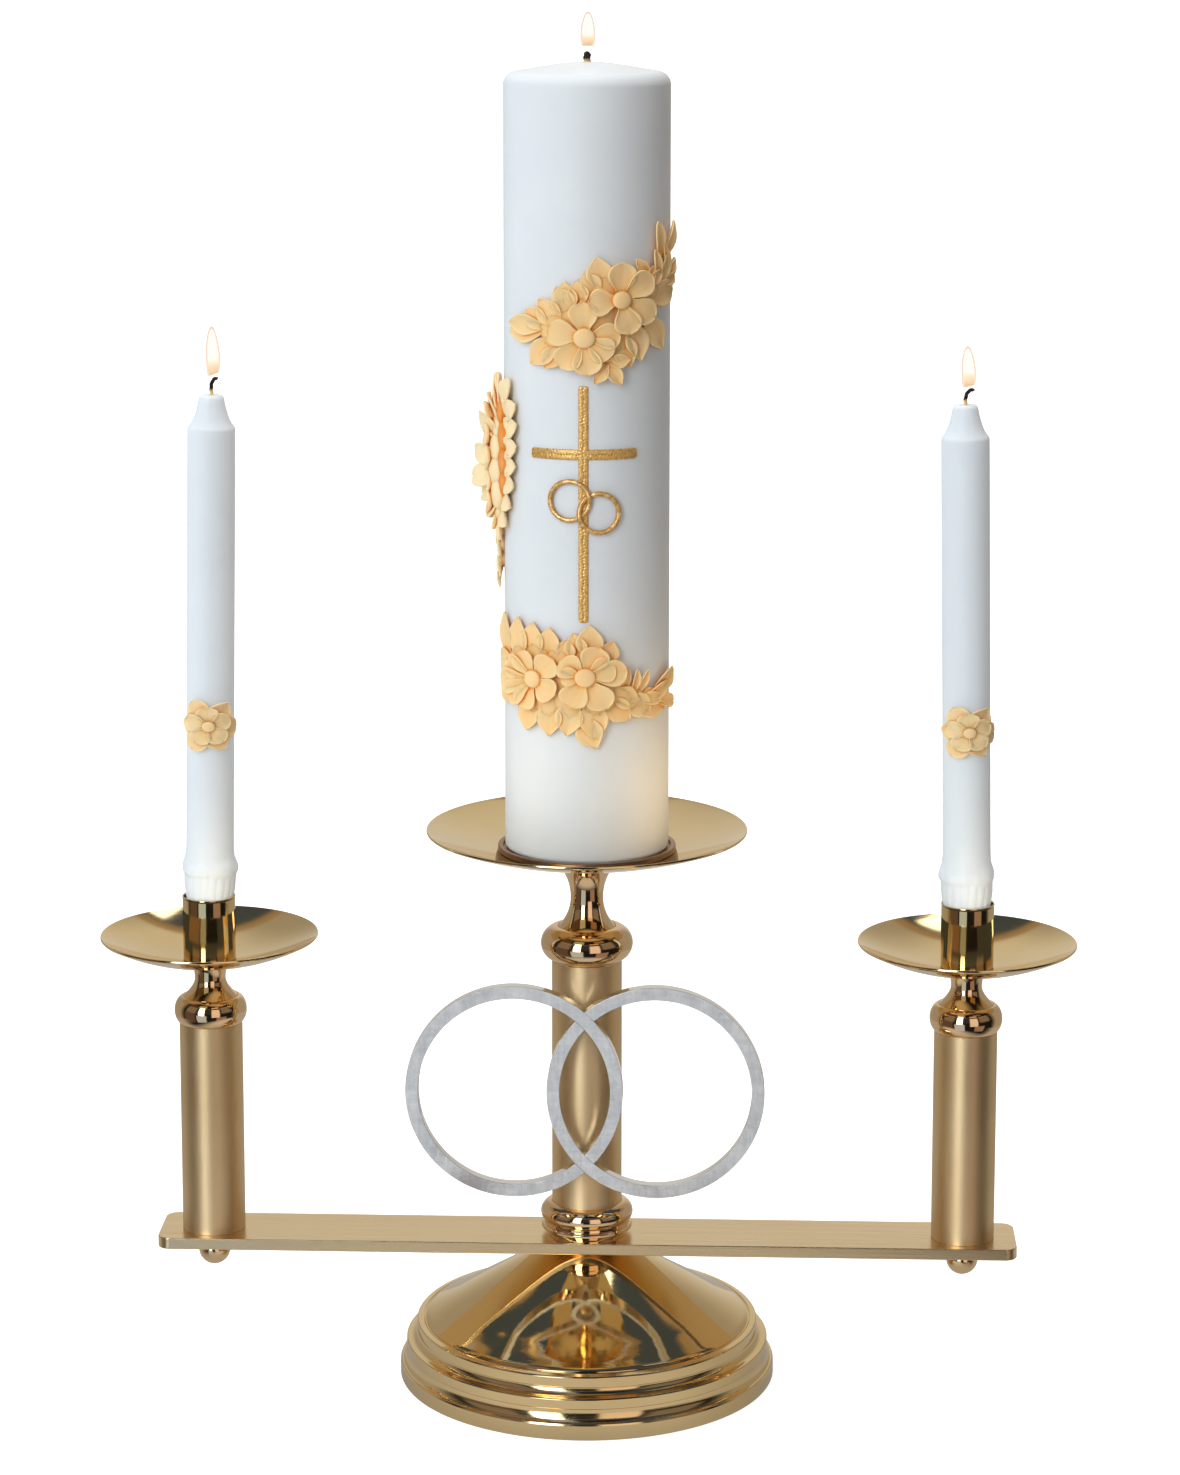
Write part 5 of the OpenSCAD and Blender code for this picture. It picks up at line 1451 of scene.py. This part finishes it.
mid = w.m("MAXIMUM", w.step(el, 36.0, 38.0, 1.0, 0.0), w.m("MULTIPLY", w.step(ab, 42.0, 45.0, 1.0, 0.0), w.step(el, 50.0, 54.0, 1.0, 0.0)))
behind = w.step(ab, 8.0, 30.0, 1.0, 0.0)
wall_c = w.mix(front, w.mix(behind, (0.37, 0.345, 0.305), (0.64, 0.61, 0.55)), (0.012, 0.012, 0.014))
mid_c = w.mix(front, (0.33, 0.235, 0.135), (0.010, 0.011, 0.016))
top_c = (0.055, 0.072, 0.10)
col = w.mix(wall, w.mix(mid, top_c, mid_c), wall_c)
key_w = w.m("MULTIPLY", level_band(w, az, -32, -14, 1.5), level_band(w, el, -2, 46, 2.0))
low_w = w.m("MULTIPLY", level_band(w, az, -39, -7, 2.0), level_band(w, el, -38, -3, 1.5))
low_r = w.m("MULTIPLY", level_band(w, az, 26, 58, 2.0), level_band(w, el, -38, -12, 1.5))
low_l = w.m("MULTIPLY", level_band(w, az, -82, -45, 3.0), level_band(w, el, -38, 4, 1.5))
hi_w = w.m("MULTIPLY", level_band(w, az, -38, -10, 2.0), level_band(w, el, 50, 76, 1.5))
hi_l = w.m("MULTIPLY", level_band(w, az, -104, -44, 3.0), level_band(w, el, 50, 76, 1.5))
hi_r = w.m("MULTIPLY", level_band(w, az, -8, 48, 3.0), level_band(w, el, 52, 76, 1.5))
fill_w = w.m("MULTIPLY", level_band(w, az, 10, 36, 2.0), level_band(w, el, -12, 33, 2.0))
over_w = w.m("MULTIPLY", level_band(w, az_b, 16, 31, 1.2), level_band(w, el, 55, 70, 1.2))


def add_light(base, fac, color):
    n_ = w.new("ShaderNodeMix", data_type="RGBA")
    n_.blend_type = "ADD"
    w.link(fac, n_.inputs[0])
    w.link(base, n_.inputs[6])
    n_.inputs[7].default_value = (*color, 1)
    return n_.outputs[2]


col = add_light(col, key_w, (5.2, 5.4, 5.5))
col = add_light(col, low_w, (0.48, 0.60, 0.76))
col = add_light(col, low_r, (0.30, 0.205, 0.165))
col = add_light(col, low_l, (0.10, 0.065, 0.045))
col = add_light(col, hi_w, (0.30, 0.36, 0.46))
col = add_light(col, hi_l, (0.17, 0.085, 0.03))
col = w.mix(hi_r, col, (0.012, 0.013, 0.018))
col = add_light(col, fill_w, (0.85, 0.70, 0.64))
col = add_light(col, over_w, (2.6, 2.6, 2.5))
col = add_light(col, w.m("MULTIPLY", level_band(w, aaz, 42, 78, 5.0), level_band(w, el, 6, 44, 5.0)), (0.21, 0.165, 0.125))
col = add_light(col, w.m("MULTIPLY", w.step(aaz, 42, 36), level_band(w, el, 6, 44, 5.0)), (0.022, 0.020, 0.018))
bg = w.new("ShaderNodeBackground")
w.link(col, bg.inputs[0])
# soft room light on the wax: brighter from the left
side_ = w.m("MULTIPLY_ADD", X, 0.5, 0.5)
room = w.mix(w.step(side_, 0.10, 0.99), (0.81, 0.86, 0.898), (0.19, 0.157, 0.128))
bgd = w.new("ShaderNodeBackground")
w.link(room, bgd.inputs[0])
bgc = w.new("ShaderNodeBackground")
bgc.inputs[0].default_value = (1.0, 1.0, 1.0, 1)
lp = w.new("ShaderNodeLightPath")
m1 = w.new("ShaderNodeMixShader")
w.link(lp.outputs["Is Glossy Ray"], m1.inputs[0])
w.link(bgd.outputs[0], m1.inputs[1])
w.link(bg.outputs[0], m1.inputs[2])
m2 = w.new("ShaderNodeMixShader")
w.link(lp.outputs["Is Camera Ray"], m2.inputs[0])
w.link(m1.outputs[0], m2.inputs[1])
w.link(bgc.outputs[0], m2.inputs[2])
w.link(m2.outputs[0], wo.inputs[0])


def area(name, loc, aim, size, energy, color=(1, 1, 1), diffuse=True, glossy=True, spread=180):
    d = bpy.data.lights.new(name, "AREA")
    d.shape = "RECTANGLE"
    d.size, d.size_y = size
    d.energy = energy
    d.color = color
    d.spread = radians(spread)
    o = bpy.data.objects.new(name, d)
    bpy.context.scene.collection.objects.link(o)
    o.location = loc
    o.rotation_euler = (Vector(aim) - Vector(loc)).to_track_quat("-Z", "Y").to_euler()
    o.visible_camera = False
    o.visible_glossy = glossy
    o.visible_diffuse = diffuse
    return o


def at(azimuth, dist, z):
    """Azimuth in degrees from the camera's side, positive to the right."""
    a = radians(azimuth)
    return (dist * sin(a), -dist * cos(a), z)


area("key", at(-27, 2.3, 1.35), (0, 0, 0.28), (0.75, 1.9), 25.5, (0.97, 0.99, 1.0), glossy=False)
area("fill", at(38, 2.4, 1.1), (0, 0, 0.28), (0.5, 1.5), 1.8, (1.0, 0.93, 0.86), glossy=False)
area("top", (0.30, 0.25, 2.3), (0, 0, 0.1), (0.5, 0.5), 17, (1.0, 0.98, 0.96), glossy=False)
# the warm light that the pans throw back up on the wax
area("pan_glow", (0.108, -0.060, 0.278), (0.030, -0.016, 0.298), (0.04, 0.03), 0.0155, (1.0, 0.71, 0.36), glossy=False, spread=100)
area("pan_glow_left", (-0.092, -0.078, 0.280), (-0.028, -0.022, 0.302), (0.04, 0.03), 0.0050, (1.0, 0.80, 0.50), glossy=False, spread=100)
area("pan_glow_front", (-0.02, -0.125, 0.262), (0, -0.03, 0.33), (0.10, 0.05), 0.009, (1.0, 0.86, 0.62), glossy=False)
for sx_ in (-0.178, 0.178):
    area("pan_glow_side", (sx_ + 0.012, -0.055, 0.224), (sx_, -0.008, 0.240), (0.05, 0.02), 0.016, (1.0, 0.84, 0.58), glossy=False)

vs = bpy.context.scene.view_settings
vs.view_transform = "Standard"
vs.look = "None"
vs.exposure = 0.0
vs.gamma = 1.0
